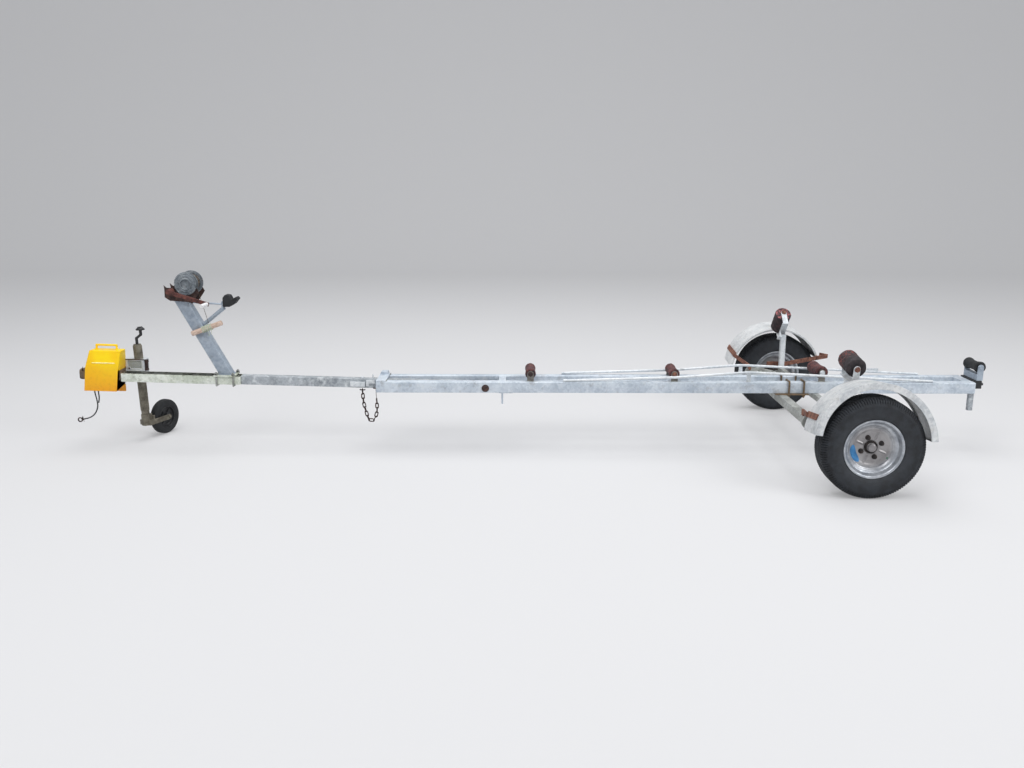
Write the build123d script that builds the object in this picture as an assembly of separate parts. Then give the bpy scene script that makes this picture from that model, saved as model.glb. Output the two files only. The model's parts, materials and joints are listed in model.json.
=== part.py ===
from build123d import *
import math
import os

# Single-axle boat trailer, parked on its road wheels and its jockey wheel. Sizes are millimetres and degrees.
# x runs rearwards from the wheel axis, y runs to the right-hand side, z runs up from the floor. At the end
# everything is shifted along x, so that the origin lies under the middle of the trailer's plan.

SIDES = {"left": -1, "right": 1}
RUNNING_FIT = 0.08          # radial clearance of a shaft in its bore
SEAT_GAP = 0.3              # clearance of a piece that rests on another

# Road wheels
TYRE_RADIUS = 243.0
TYRE_WIDTH = 147.0
TRACK = 1667.0
RIM_LIP_RADIUS = 141.5
RIM_WALL = 4.0
WELL_RADIUS = 108.0
DISC_INSET = 45.0           # from the outer lip to the wheel disc
DISC_WALL = 6.0
STUD_CIRCLE = 100.0
STUD_COUNT = 4
STUD_RADIUS = 6.0
NUT_WIDTH = 19.0
NUT_HEIGHT = 14.0
HUB_RADIUS = 62.0
HUB_CAP_RADIUS = 21.0
SPINDLE_RADIUS = 20.0

# Tilting main frame
RAIL_FRONT = -2419.0
RAIL_REAR = 831.0
RAIL_WIDTH = 50.0
RAIL_HEIGHT = 60.0
RAIL_TOP = 380.0
RAIL_OUTER = 105.0          # from the centre plane to a rail's outer face
TUBE_WALL = 4.0
CROSS_HEIGHT = 40.0
CROSS_WIDTH = 40.0
FRONT_CROSS_X = -1731.0
FRONT_CROSS_TOP = 378.0
PLATE_LENGTH = 54.0
PLATE_THICKNESS = 6.0
PAD_WIDTH = 44.0

# Drawbar, set out in a frame of its own: u runs rearwards along it from the pivot, v across, w up
PIVOT_X = -1823.0
DRAWBAR_Z = 335.0           # height of the drawbar's middle at the pivot
DRAWBAR_RISE = 1.5
DRAWBAR_SIZE = 50.0
DRAWBAR_TAIL = 56.0
PIVOT_RADIUS = 9.0
PIVOT_ABOVE_MIDDLE = 10.0
BOLT_HEAD_WIDTH = 30.0
BOLT_HEAD_HEIGHT = 12.0

CHANNEL_REAR = -1354.0
CHANNEL_LENGTH = 660.0
CHANNEL_WIDTH = 80.0
CHANNEL_BOTTOM = -24.5
CHANNEL_TOP = 21.0
CHANNEL_WALL = 5.0

# Ball coupling and the lock box over it
BALL_U = -2223.0
SOCKET_RADIUS = 25.5
SOCKET_SKIRT = 18.0
HEAD_HALF_WIDTH = 33.0
HEAD_BOTTOM = -18.0
HEAD_TOP = 38.0
# Levels of the lock box from its bottom: height, front, rear, half width
BOX_LEVELS = [(-78.0, -2217.0, -2034.0, 53.0), (54.0, -2203.0, -2019.0, 53.0), (147.0, -2181.0, -2009.0, 34.0)]
BOX_WALL = 3.0
BOX_RIDGE = (-2166.0, -2036.0)
BOX_FLAP_BOTTOM = -100.0
HANDLE_SPAN = (-2158.0, -2036.0)
HANDLE_TOP = 178.0
HANDLE_BAR = 11.0

# Jockey wheel
JOCKEY_U = -1951.0
JOCKEY_LEAN = 3.2           # the tube's foot leans rearwards from square to the drawbar
JOCKEY_V = 78.0
JOCKEY_TUBE_RADIUS = 24.0
JOCKEY_TUBE_WALL = 2.5
JOCKEY_TOP = 160.0
JOCKEY_BOTTOM = -214.0
JOCKEY_HEAD_TOP = 150.0     # height over the floor
JOCKEY_HEAD_BOTTOM = 84.0
JOCKEY_WHEEL_RADIUS = 100.0
JOCKEY_WHEEL_WIDTH = 50.0
JOCKEY_RIM_RADIUS = 62.0
JOCKEY_TRAIL = 148.0
JOCKEY_HEADING = 69.0       # the wheel trails to the rear and right of the tube
FORK_GAP = 62.0
FORK_BAR = 6.0
FORK_DEPTH = 30.0

# Winch and its post
POST_FOOT_U = -1436.0
POST_TOP_U = -1667.0
POST_TOP_W = 438.0
POST_DEPTH = 73.0
POST_WIDTH = 60.0
FOOT_PLATE = (-1498.0, -1382.0)
FOOT_PLATE_THICKNESS = 8.0
FOOT_BOLTS_U = (-1484.0, -1391.0)
DRUM_U = -1623.0
DRUM_W = 528.0
GEAR_RADIUS = 61.5
DRUM_RADIUS = 30.0
FLANGE_RADIUS = 64.0
WINCH_HALF_WIDTH = 44.0
CRANK_U = -1702.0
CRANK_W = 485.0
PINION_RADIUS = 20.0
CRANK_REACH = (201.0, -57.0)
GRIP_RADIUS = 10.5
GRIP_LENGTH = 86.0

# Axle, bilge tube and mudguards
AXLE_X = -209.0
AXLE_SIZE = 45.0
AXLE_HALF_LENGTH = 575.0
CLAMP_PLATE_X = (-250.0, -70.0)
CLAMP_PLATE_THICKNESS = 6.0
U_BOLT_X = (-176.0, -96.0)
U_BOLT_RADIUS = 5.0
ARM_THICKNESS = 18.0
ARM_END_RADIUS = 38.0
BILGE_X = -28.0
BILGE_TUBE = 30.0
BILGE_Y = 580.0
MUDGUARD_Z = 266.0
MUDGUARD_RADIUS = 281.0
MUDGUARD_SHEET = 2.5
# Mudguards: side, x of the middle, rear and front end of the arc, tilt that lifts the outer edge
MUDGUARDS = [("left", -2.0, 2.0, 172.0, 8.0), ("right", -22.0, 20.0, 173.0, 5.0)]
MUDGUARD_INNER = 738.0
MUDGUARD_OUTER = 925.0
OUTER_LIP = 31.0
INNER_LIP = 12.0
STAY_HEIGHT = 27.0
STAY_THICKNESS = 6.0
STRAP_ANGLES = (153.0, 159.0)
# Straps across the front of the mudguards: side and outer end
STRAPS = [("left", 872.0), ("right", 925.0)]
# Rear mudguard stays on edge: side, foot height, upward slope outwards, bolt's x and height, (x, y) points
STAYS = [
    ("left", 327.0, 8.0, (250.0, 357.0), [(-110.0, 602.0), (0.0, 602.0), (272.0, 716.0)]),
    ("right", 327.0, 9.0, (231.0, 364.0), [(-110.0, 602.3), (0.0, 602.3), (300.0, 738.0), (262.0, 764.0)]),
]
STAY_BOLT_RADIUS = 4.0

# Rollers: name, x, height of the axis, half length, radius, radius at the waist
KEEL_ROLLERS = [
    ("keel_roller_rear", 4.0, 430.0, 79.0, 36.0, 31.0),
    ("keel_roller_middle", -794.0, 420.0, 79.0, 30.0, 26.0),
    ("keel_roller_front", -1577.0, 420.0, 79.0, 30.0, 26.0),
]
ROLLER_PIN_RADIUS = 8.0
BRACKET_PLATE = 4.0
BRACKET_GAP = 3.0           # from a roller's end to its bracket
REAR_ROLLER_X = 863.0
REAR_ROLLER_Z = 458.0
REAR_ROLLER_HALF = 70.0
REAR_ROLLER_RADIUS = 32.0
REAR_ROLLER_WAIST = 25.0
REAR_BAR_Z = (341.0, 386.0)
REAR_BASE_TOP = 420.0
REAR_ARM_HALF = 16.5
BILGE_ROLLER_RADIUS = 49.0
BILGE_ROLLER_HALF = 67.0
BILGE_ARM = 110.0
BILGE_FORK_HALF = 16.0
# Bilge supports: side, height of the tilt bolt, outward tilt, how far the roller sits off the bolt
BILGE_SUPPORTS = [("left", 479.0, 10.0, 0.0), ("right", 515.0, 48.0, -15.0)]

# Arched runner rods on the rails: points along one rod as (x, height over the rail's top)
RUNNER_Y = 97.0
RUNNER_RADIUS = 7.0
RUNNER_POINTS = [(-1400.0, 0.0), (-760.0, 20.0), (-395.0, 48.0), (60.0, 24.0), (600.0, 0.0)]
RUNNER_BENDS = [900.0, 700.0, 900.0]

# Safety chain: it hangs in a loop beside the drawbar, each link at its own heading from the one before
CHAIN_WIRE = 6.0
CHAIN_STEP = 25.4           # from link to link
CHAIN_WIDTH = 21.0
CHAIN_START = (-681.0, -31.0)
CHAIN_V = -36.0
CHAIN_HEADINGS = [-84, -88, -82, -78, -73, -74, -68, -5, 62, 75, 88, 92, 94]
TIE_RADIUS = 1.5

# Breakaway cable under the coupling, with a second strand tied to it: (u, w) points
CABLE_RADIUS = 3.5
CABLE_V = -29.0             # beside the path of the tow ball
CABLE_POINTS = [(-2171, -18), (-2171, -86), (-2160, -130), (-2156, -172), (-2173, -214), (-2206, -240), (-2236, -246)]
STRAND_POINTS = [(-2149, -18), (-2149, -88), (-2145, -122), (-2151, -150)]


def block(x_span, y_span, z_span):
    """A box between two corners."""
    spans = (x_span, y_span, z_span)
    size = [high - low for low, high in spans]
    middle = [(high + low) / 2 for low, high in spans]
    return Pos(*middle) * Box(*size)


def mirrored_span(inner, outer, side):
    """The y span from inner to outer on one side of the centre plane."""
    return tuple(sorted((side * inner, side * outer)))


def rod(start, end, radius):
    """A round bar between two points."""
    axis = Vector(*end) - Vector(*start)
    return extrude(Plane(origin=start, z_dir=axis) * Circle(radius), axis.length)


def side_plate(points, y_span):
    """A plate with an outline of (x, z) points, between two y values."""
    outline = Plane.XZ.offset(-y_span[0]) * Polygon(*points, align=None)
    return extrude(outline, y_span[1] - y_span[0], dir=(0, 1, 0))


def turned(points, centre=(0, 0, 0)):
    """A solid of revolution on a crosswise axis, from (y, radius) points."""
    outline = Polygon(*[(radius, y) for y, radius in points], align=None)
    return Pos(*centre) * revolve(outline, Axis.Y)


def hex_head(centre, direction, width, height):
    """A hexagon head or nut whose near face lies at centre."""
    plane = Plane(origin=centre, z_dir=direction)
    return extrude(plane * RegularPolygon(width / 2, 6, major_radius=False), height)


def square_tube(x_span, y_span, z_span, wall):
    """A square tube along its longest side, open at its ends."""
    spans = [x_span, y_span, z_span]
    lengths = [high - low for low, high in spans]
    along = lengths.index(max(lengths))
    inner = [(low + wall, high - wall) for low, high in spans]
    inner[along] = (spans[along][0] - 1, spans[along][1] + 1)
    return block(*spans) - block(*inner)


def group(shapes):
    """Several separate solids as one piece."""
    return Compound(children=[solid for shape in shapes for solid in shape.solids()])


DRAWBAR_FRAME = Pos(PIVOT_X, 0, DRAWBAR_Z) * Rot(0, DRAWBAR_RISE, 0)
pivot = (DRAWBAR_FRAME * Pos(0, 0, PIVOT_ABOVE_MIDDLE)).position
RAIL_BOTTOM = RAIL_TOP - RAIL_HEIGHT
RAIL_INNER = RAIL_OUTER - RAIL_WIDTH
WHEEL_Y = TRACK / 2
AXLE_TOP = RAIL_BOTTOM - CLAMP_PLATE_THICKNESS
nodes = {}


JOCKEY_FRAME = Pos(JOCKEY_U, JOCKEY_V, 0) * Rot(0, -JOCKEY_LEAN, 0)


def on_drawbar(shape):
    """Carries a shape from the drawbar's own frame to the trailer's."""
    return DRAWBAR_FRAME * shape


def on_jockey(shape):
    """Carries a shape from the leaning jockey tube's own frame to the trailer's."""
    return DRAWBAR_FRAME * JOCKEY_FRAME * shape


# Drawbar tube and nose channel
half = DRAWBAR_SIZE / 2
drawbar = square_tube((CHANNEL_REAR, DRAWBAR_TAIL), (-half, half), (-half, half), TUBE_WALL)
bolt_hole = rod((0, -half - 1, PIVOT_ABOVE_MIDDLE), (0, half + 1, PIVOT_ABOVE_MIDDLE), PIVOT_RADIUS + RUNNING_FIT)
nodes["drawbar_tube"] = on_drawbar(drawbar - bolt_hole)

channel_front = CHANNEL_REAR - CHANNEL_LENGTH
channel_half = CHANNEL_WIDTH / 2
channel_inner = channel_half - CHANNEL_WALL
channel = block((channel_front, CHANNEL_REAR), (-channel_half, channel_half), (CHANNEL_BOTTOM, CHANNEL_TOP))
channel -= block(
    (channel_front - 1, CHANNEL_REAR - CHANNEL_WALL),
    (-channel_inner, channel_inner),
    (CHANNEL_BOTTOM + CHANNEL_WALL, CHANNEL_TOP + 1),
)
nodes["nose_channel"] = on_drawbar(channel)

# Coupling head: its shank lies in the channel's front and its skirt goes over the ball
head_plan = Pos(BALL_U, 0, HEAD_BOTTOM) * extrude(Circle(HEAD_HALF_WIDTH), HEAD_TOP - HEAD_BOTTOM)
head_plan = fillet(head_plan.faces().sort_by(Axis.Z)[-1].edges(), 16)
neck = block((BALL_U, channel_front), (-HEAD_HALF_WIDTH, HEAD_HALF_WIDTH), (HEAD_BOTTOM, HEAD_TOP))
shank_bottom = CHANNEL_BOTTOM + CHANNEL_WALL
shank = block((channel_front - 20, channel_front + 80), (-channel_inner, channel_inner), (shank_bottom, CHANNEL_TOP))
socket = Pos(BALL_U, 0, HEAD_BOTTOM - 1) * extrude(Circle(SOCKET_RADIUS), SOCKET_SKIRT + 1)
dome = Pos(BALL_U, 0, HEAD_BOTTOM + SOCKET_SKIRT) * Sphere(SOCKET_RADIUS)
nodes["coupling_head"] = on_drawbar(head_plan + neck + shank - socket - dome)

# Lock box: a hood that leans rearwards, open at its bottom and low at its rear, with a shelf that rests
# on the coupling, a ridge along each side and a handle


def hood(inset, bottom_drop):
    """The lock box's outline through its three levels, drawn in by inset."""
    frames = []
    for height, front, rear, half_width in BOX_LEVELS:
        size = (rear - front - 2 * inset, 2 * (half_width - inset))
        frames.append(Pos((front + rear) / 2, 0, height) * Rectangle(*size))
    bottom = frames[0]
    if bottom_drop:
        frames[0] = Pos(0, 0, -bottom_drop) * bottom
    frames[2] = Pos(0, 0, -inset) * frames[2]
    return loft(frames[:2]) + loft(frames[1:])


(box_bottom, _, low_rear, box_half), (box_shoulder, shoulder_front, shoulder_rear, _), (box_top, *_) = BOX_LEVELS
mouth_half = channel_half + 2
mouth_top = HEAD_TOP + SEAT_GAP
lock_box = hood(0, 0) - hood(BOX_WALL, 1)
lock_box -= block((-2240, -2100), (-mouth_half, mouth_half), (box_bottom - 1, mouth_top))
lock_box -= block((-2060, -2000), (-box_half + BOX_WALL, box_half - BOX_WALL), (box_bottom - 1, mouth_top))
lock_box += block((shoulder_front, low_rear + 10), (-box_half + 1, box_half - 1), (mouth_top, mouth_top + BOX_WALL))
for side in SIDES.values():
    ridge = mirrored_span(47.5, 49.5, side)
    lock_box += block(BOX_RIDGE, ridge, (77, 83))
far_wall = (box_half - BOX_WALL, box_half)
lock_box += block((-2110, low_rear + 6), far_wall, (BOX_FLAP_BOTTOM, box_bottom + 20))
handle = block(HANDLE_SPAN, (-5.5, 5.5), (box_top - 2, HANDLE_TOP))
handle -= block(
    (HANDLE_SPAN[0] + HANDLE_BAR, HANDLE_SPAN[1] - HANDLE_BAR),
    (-6, 6),
    (box_top, HANDLE_TOP - HANDLE_BAR),
)
nodes["lock_box"] = on_drawbar(lock_box + handle)

# Jockey wheel: clamp, outer tube, crank, inner tube, fork, rim and tyre, the tube in its own leaning frame
tube_foot = (0, 0, JOCKEY_BOTTOM)
bore_radius = JOCKEY_TUBE_RADIUS - JOCKEY_TUBE_WALL
outer_tube = rod(tube_foot, (0, 0, JOCKEY_TOP), JOCKEY_TUBE_RADIUS) - rod(tube_foot, (0, 0, JOCKEY_TOP - 20), bore_radius)
outer_tube += Pos(0, 0, JOCKEY_TOP) * extrude(Circle(JOCKEY_TUBE_RADIUS - 3), 7)
nodes["jockey_outer_tube"] = on_jockey(outer_tube)

clamp = block((-2015, -1913), (channel_half, JOCKEY_V + 36), (-10, 86))
clamp -= JOCKEY_FRAME * rod((0, 0, -20), (0, 0, 96), JOCKEY_TUBE_RADIUS + RUNNING_FIT)
clamp -= block((-2004, -1929), (channel_half - 1, channel_half + 7), (34, 79))
nodes["jockey_clamp"] = on_drawbar(clamp)

crank_foot = (0, 0, JOCKEY_TOP + 7)
crank_elbow = (0, 0, JOCKEY_TOP + 40)
crank_out = (27, 0, JOCKEY_TOP + 60)
crank_end = (27, 0, JOCKEY_TOP + 86)
jockey_crank = rod(crank_foot, crank_elbow, 8) + Pos(*crank_elbow) * Sphere(8)
jockey_crank += rod(crank_elbow, crank_out, 7) + Pos(*crank_out) * Sphere(8) + rod(crank_out, crank_end, 8)
knob = Pos(*crank_end) * (Cylinder(24, 5, align=(Align.CENTER, Align.CENTER, Align.MIN)))
knob += Pos(crank_end[0], crank_end[1], crank_end[2] + 5) * Cone(24, 11, 13, align=(Align.CENTER, Align.CENTER, Align.MIN))
nodes["jockey_crank"] = on_jockey(jockey_crank + knob)

swivel_foot = -236.0
inner_tube = rod((0, 0, swivel_foot), (0, 0, 60), bore_radius - RUNNING_FIT)
inner_tube += rod((0, 0, swivel_foot - 50), (0, 0, swivel_foot), 12)
nodes["jockey_inner_tube"] = on_jockey(inner_tube)

jockey_axis = on_jockey(Pos(0, 0, swivel_foot)).position
fork_place = Pos(jockey_axis.X, jockey_axis.Y, 0) * Rot(0, 0, JOCKEY_HEADING)
fork_half = FORK_GAP / 2
fork = Pos(0, 0, JOCKEY_HEAD_BOTTOM) * extrude(Circle(JOCKEY_TUBE_RADIUS + 1), JOCKEY_HEAD_TOP - JOCKEY_HEAD_BOTTOM)
fork += block((0, 26), (-24, 24), (JOCKEY_HEAD_BOTTOM, JOCKEY_HEAD_TOP))
depth = FORK_DEPTH / 2
low = JOCKEY_WHEEL_RADIUS - depth
fork += block((20, 32), (-fork_half - FORK_BAR, fork_half + FORK_BAR), (low, JOCKEY_HEAD_TOP - 12))
for side in SIDES.values():
    bar_span = mirrored_span(fork_half, fork_half + FORK_BAR, side)
    fork += block((-10, JOCKEY_TRAIL), bar_span, (low, JOCKEY_WHEEL_RADIUS + depth))
    fork += block((-10, 26), mirrored_span(20, fork_half + FORK_BAR, side), (low, JOCKEY_WHEEL_RADIUS + depth))
    eye = (JOCKEY_TRAIL, bar_span[0], JOCKEY_WHEEL_RADIUS)
    fork += rod(eye, (JOCKEY_TRAIL, bar_span[1], JOCKEY_WHEEL_RADIUS), depth)
    fork += hex_head((JOCKEY_TRAIL, side * (fork_half + FORK_BAR), JOCKEY_WHEEL_RADIUS), (0, side, 0), 17, 8)
fork += rod((JOCKEY_TRAIL, -fork_half, JOCKEY_WHEEL_RADIUS), (JOCKEY_TRAIL, fork_half, JOCKEY_WHEEL_RADIUS), 8)
fork = fork_place * fork
fork -= on_jockey(rod((0, 0, swivel_foot - 51), (0, 0, swivel_foot + 5), 12 + RUNNING_FIT))
fork -= on_jockey(Pos(0, 0, swivel_foot - 0.3) * Box(110, 110, 20, align=(Align.CENTER, Align.CENTER, Align.MIN)))
nodes["jockey_fork"] = fork

wheel_half = JOCKEY_WHEEL_WIDTH / 2
rim_half = wheel_half - 4
jockey_tyre = turned(
    [
        (-wheel_half + 3, JOCKEY_RIM_RADIUS),
        (-wheel_half, JOCKEY_RIM_RADIUS + 14),
        (-wheel_half + 2, JOCKEY_WHEEL_RADIUS - 14),
        (-wheel_half + 8, JOCKEY_WHEEL_RADIUS - 3),
        (-wheel_half + 16, JOCKEY_WHEEL_RADIUS),
        (wheel_half - 16, JOCKEY_WHEEL_RADIUS),
        (wheel_half - 8, JOCKEY_WHEEL_RADIUS - 3),
        (wheel_half - 2, JOCKEY_WHEEL_RADIUS - 14),
        (wheel_half, JOCKEY_RIM_RADIUS + 14),
        (wheel_half - 3, JOCKEY_RIM_RADIUS),
    ]
)
jockey_rim = turned(
    [
        (-rim_half, JOCKEY_RIM_RADIUS - 5),
        (-rim_half, JOCKEY_RIM_RADIUS),
        (rim_half, JOCKEY_RIM_RADIUS),
        (rim_half, JOCKEY_RIM_RADIUS - 5),
        (5, JOCKEY_RIM_RADIUS - 8),
        (5, 20),
        (fork_half - 1, 20),
        (fork_half - 1, 8 + RUNNING_FIT),
        (-fork_half + 1, 8 + RUNNING_FIT),
        (-fork_half + 1, 20),
        (-5, 20),
        (-5, JOCKEY_RIM_RADIUS - 8),
    ]
)
jockey_hub = fork_place * Pos(JOCKEY_TRAIL, 0, JOCKEY_WHEEL_RADIUS)
nodes["jockey_tyre"] = jockey_hub * jockey_tyre
nodes["jockey_rim"] = jockey_hub * jockey_rim

# Winch post on its foot plate, clamped to the nose channel by two U-bolts
plate_top = CHANNEL_TOP + FOOT_PLATE_THICKNESS
half_depth = POST_DEPTH / 2
half_width = POST_WIDTH / 2


def post_outline(inset):
    """The leaning post's side outline, drawn in by inset at its front and back."""
    reach = half_depth - inset
    return [
        (POST_FOOT_U - reach, plate_top),
        (POST_FOOT_U + reach, plate_top),
        (POST_TOP_U + reach, POST_TOP_W),
        (POST_TOP_U - reach, POST_TOP_W),
    ]


post = side_plate(post_outline(0), (-half_width, half_width))
post -= side_plate(post_outline(TUBE_WALL), (-half_width + TUBE_WALL, half_width - TUBE_WALL))
nodes["winch_post"] = on_drawbar(post)

bolt_offset = channel_half + U_BOLT_RADIUS + 0.5
foot = block(FOOT_PLATE, (-channel_half - 14, channel_half + 14), (CHANNEL_TOP, plate_top))
foot_bolts = []
for bolt_u in FOOT_BOLTS_U:
    below = CHANNEL_BOTTOM - U_BOLT_RADIUS - 0.5
    bolt = rod((bolt_u, -bolt_offset, below), (bolt_u, bolt_offset, below), U_BOLT_RADIUS)
    for side in SIDES.values():
        leg_y = side * bolt_offset
        bolt += rod((bolt_u, leg_y, below), (bolt_u, leg_y, plate_top + 16), U_BOLT_RADIUS)
        bolt += Pos(bolt_u, leg_y, below) * Sphere(U_BOLT_RADIUS)
        bolt += hex_head((bolt_u, leg_y, plate_top), (0, 0, 1), 17, 8)
        foot -= rod((bolt_u, leg_y, CHANNEL_TOP - 1), (bolt_u, leg_y, plate_top + 1), U_BOLT_RADIUS + 0.5)
    foot_bolts.append(bolt)
nodes["winch_foot_plate"] = on_drawbar(foot)
nodes["winch_foot_bolts"] = on_drawbar(group(foot_bolts))

# Winch: side frame, drum with its gear, crank with its grip
base_top = POST_TOP_W + 8
frame_outline = [
    (-1742, 452), (-1714, 434), (-1618, 430), (-1594, 422), (-1554, 482), (-1594, 548),
    (-1652, 548), (-1700, 504), (-1729, 504), (-1746, 518), (-1742, 500),
]
winch_frame = block(
    (POST_TOP_U - 44, POST_TOP_U + 50),
    (-WINCH_HALF_WIDTH - 4, WINCH_HALF_WIDTH + 4),
    (POST_TOP_W, base_top),
)
for side in SIDES.values():
    plate = side_plate(frame_outline, mirrored_span(WINCH_HALF_WIDTH, WINCH_HALF_WIDTH + 4, side))
    for axle_u, axle_w in ((DRUM_U, DRUM_W), (CRANK_U, CRANK_W)):
        plate -= rod((axle_u, -80, axle_w), (axle_u, 80, axle_w), 8 + RUNNING_FIT)
    winch_frame += plate
nodes["winch_frame"] = on_drawbar(winch_frame)

gear_near = -(WINCH_HALF_WIDTH + 4 + 6)
drum = turned(
    [
        (-50, 0),
        (-50, 24),
        (gear_near - 8, 24),
        (gear_near - 8, GEAR_RADIUS - 8),
        (gear_near - 9, GEAR_RADIUS),
        (gear_near, GEAR_RADIUS),
        (gear_near, 14),
        (-WINCH_HALF_WIDTH - 4.6, 14),
        (-WINCH_HALF_WIDTH - 4.6, 8),
        (-WINCH_HALF_WIDTH + 1, 8),
        (-WINCH_HALF_WIDTH + 1, FLANGE_RADIUS),
        (-WINCH_HALF_WIDTH + 4, FLANGE_RADIUS),
        (-WINCH_HALF_WIDTH + 4, DRUM_RADIUS),
        (WINCH_HALF_WIDTH - 4, DRUM_RADIUS),
        (WINCH_HALF_WIDTH - 4, FLANGE_RADIUS),
        (WINCH_HALF_WIDTH - 1, FLANGE_RADIUS),
        (WINCH_HALF_WIDTH - 1, 8),
        (WINCH_HALF_WIDTH + 14, 8),
        (WINCH_HALF_WIDTH + 14, 0),
    ],
    (DRUM_U, 0, DRUM_W),
)
nodes["winch_drum"] = on_drawbar(drum)

crank_shaft = rod((CRANK_U, WINCH_HALF_WIDTH + 14, CRANK_W), (CRANK_U, -94, CRANK_W), 8)
crank_shaft += rod((CRANK_U, gear_near - 12, CRANK_W), (CRANK_U, gear_near + 3, CRANK_W), PINION_RADIUS)
crank_shaft += rod((CRANK_U, -88, CRANK_W), (CRANK_U, gear_near - 12, CRANK_W), 15)
arm_end = (CRANK_U + CRANK_REACH[0], CRANK_W + CRANK_REACH[1])
arm_angle = math.degrees(math.atan2(CRANK_REACH[1], CRANK_REACH[0]))
arm_length = math.hypot(*CRANK_REACH)
arm = Rot(0, -arm_angle, 0) * block((-16, arm_length + 12), (-94, -88), (-11, 11))
crank_shaft += Pos(CRANK_U, 0, CRANK_W) * arm
nodes["winch_crank"] = on_drawbar(crank_shaft)
grip_start = (arm_end[0], -94, arm_end[1])
grip_end = (arm_end[0], -94 - GRIP_LENGTH, arm_end[1])
nodes["crank_grip"] = on_drawbar(rod(grip_start, grip_end, GRIP_RADIUS))

# Bow stop: lower strut, upper rod and a rubber with a notch, and the round wooden bar lashed to the post
strut_foot = (-1578.0, 0.0, 281.0)
strut_end = (-1437.0, 0.0, 398.0)
strut = rod(strut_foot, strut_end, 11)
strut -= side_plate([(x + 1, z) for x, z in post_outline(0)], (-half_width, half_width))
upper = rod((-1634, 0, 423), (-1441, 0, 417), 5)
upper -= side_plate(post_outline(0), (-half_width, half_width))
head = block((-1447, -1438), (-20, 20), (392, 434))
nodes["bow_stop_arms"] = on_drawbar(strut + upper + head)
bow_outline = [
    (-1438, 404), (-1438, 454), (-1425, 471), (-1402, 469), (-1390, 446),
    (-1364, 462), (-1353, 450), (-1374, 423), (-1401, 406),
]
nodes["bow_stop_rubber"] = on_drawbar(side_plate(bow_outline, (-27, 27)))
bar_y = -half_width - 14.5
bar_start = Vector(-1606, bar_y, 256)
bar_end = Vector(-1439, bar_y, 322)
nodes["wooden_bar"] = on_drawbar(rod(bar_start, bar_end, 14))
bar_step = (bar_end - bar_start).normalized()
turns = []
for index in range(7):
    seat = Plane(origin=bar_start + bar_step * (64 + 8.2 * index), z_dir=bar_step)
    turn = extrude(seat * (Circle(18.5) - Circle(14.06)), 8)
    turns.append(turn - block((-1700, -1400), (-half_width - SEAT_GAP, 0), (200, 400)))
nodes["bar_lashing"] = on_drawbar(group(turns))

# Tilt latch on the drawbar's left face, ahead of the rails
latch = block((-749, -667), (-half - 11, -half), (-18, 10))
latch += block((-661, -612), (-half - 8, -half), (2, 20)) + block((-661, -646), (-half - 8, -half), (-14, 2))
latch += rod((-628, 0, half), (-628, 0, half + 24), 4)
latch += rod((-688, 0, half), (-688, 0, half + 8), 11)
nodes["tilt_latch"] = on_drawbar(group([latch]))


# Safety chain: oval links along a hanging loop beside the drawbar, on staples
def chain_link(middle, along, flat):
    """One link; flat is the direction that the link's plane faces."""
    long_half = CHAIN_STEP / 2 + CHAIN_WIRE - 0.2
    short_half = CHAIN_WIDTH / 2
    rings = []
    for inset in (0, CHAIN_WIRE):
        reach = long_half - inset
        width = short_half - inset
        corner = width * 0.55
        right = [(reach - corner, width), (reach, width - corner), (reach, corner - width), (reach - corner, -width)]
        rings.append(Polygon(*right, *[(-x, -y) for x, y in right], align=None))
    plane = Plane(origin=middle, x_dir=along, z_dir=flat)
    return extrude(plane * (rings[0] - rings[1]), CHAIN_WIRE / 2, both=True)


def staple(u, w):
    """A small bar held off the drawbar's left face by two legs."""
    bar = rod((u - 13, CHAIN_V, w), (u + 13, CHAIN_V, w), CHAIN_WIRE / 2)
    for leg_u in (u - 13, u + 13):
        bar += rod((leg_u, CHAIN_V, w), (leg_u, -half, w), CHAIN_WIRE / 2 - 0.5)
    return bar


chain = []
u, w = CHAIN_START
for index, heading in enumerate(CHAIN_HEADINGS):
    along = (math.cos(math.radians(heading)), 0, math.sin(math.radians(heading)))
    across = (-along[2], 0, along[0])
    flat = across if index % 2 == 0 else (0, 1, 0)
    middle = (u + along[0] * CHAIN_STEP / 2, CHAIN_V, w + along[2] * CHAIN_STEP / 2)
    chain.append(chain_link(middle, along, flat))
    u += along[0] * CHAIN_STEP
    w += along[2] * CHAIN_STEP
chain.append(staple(CHAIN_START[0], CHAIN_START[1] - CHAIN_WIRE / 2))
chain.append(staple(u - 4, CHAIN_START[1] + 8))
chain.append(rod((u, CHAIN_V, w - 4), (u - 4, CHAIN_V, CHAIN_START[1] + 4), TIE_RADIUS))
nodes["safety_chain"] = on_drawbar(group(chain))


def bend_radii(points):
    """The radius of each bend, so that its arc takes up to 0.45 of the shorter run beside it."""
    radii = []
    for before, corner, after in zip(points, points[1:], points[2:]):
        first = Vector(corner[0] - before[0], corner[1] - before[1])
        second = Vector(after[0] - corner[0], after[1] - corner[1])
        half_turn = math.radians(first.get_angle(second)) / 2
        radii.append(0.45 * min(first.length, second.length) / math.tan(half_turn))
    return radii


def cord_path(points):
    """Straight runs and tangent arcs through (u, w) points in the cable's plane."""
    return FilletPolyline(*[(u, CABLE_V, w) for u, w in points], radius=bend_radii(points))


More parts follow.
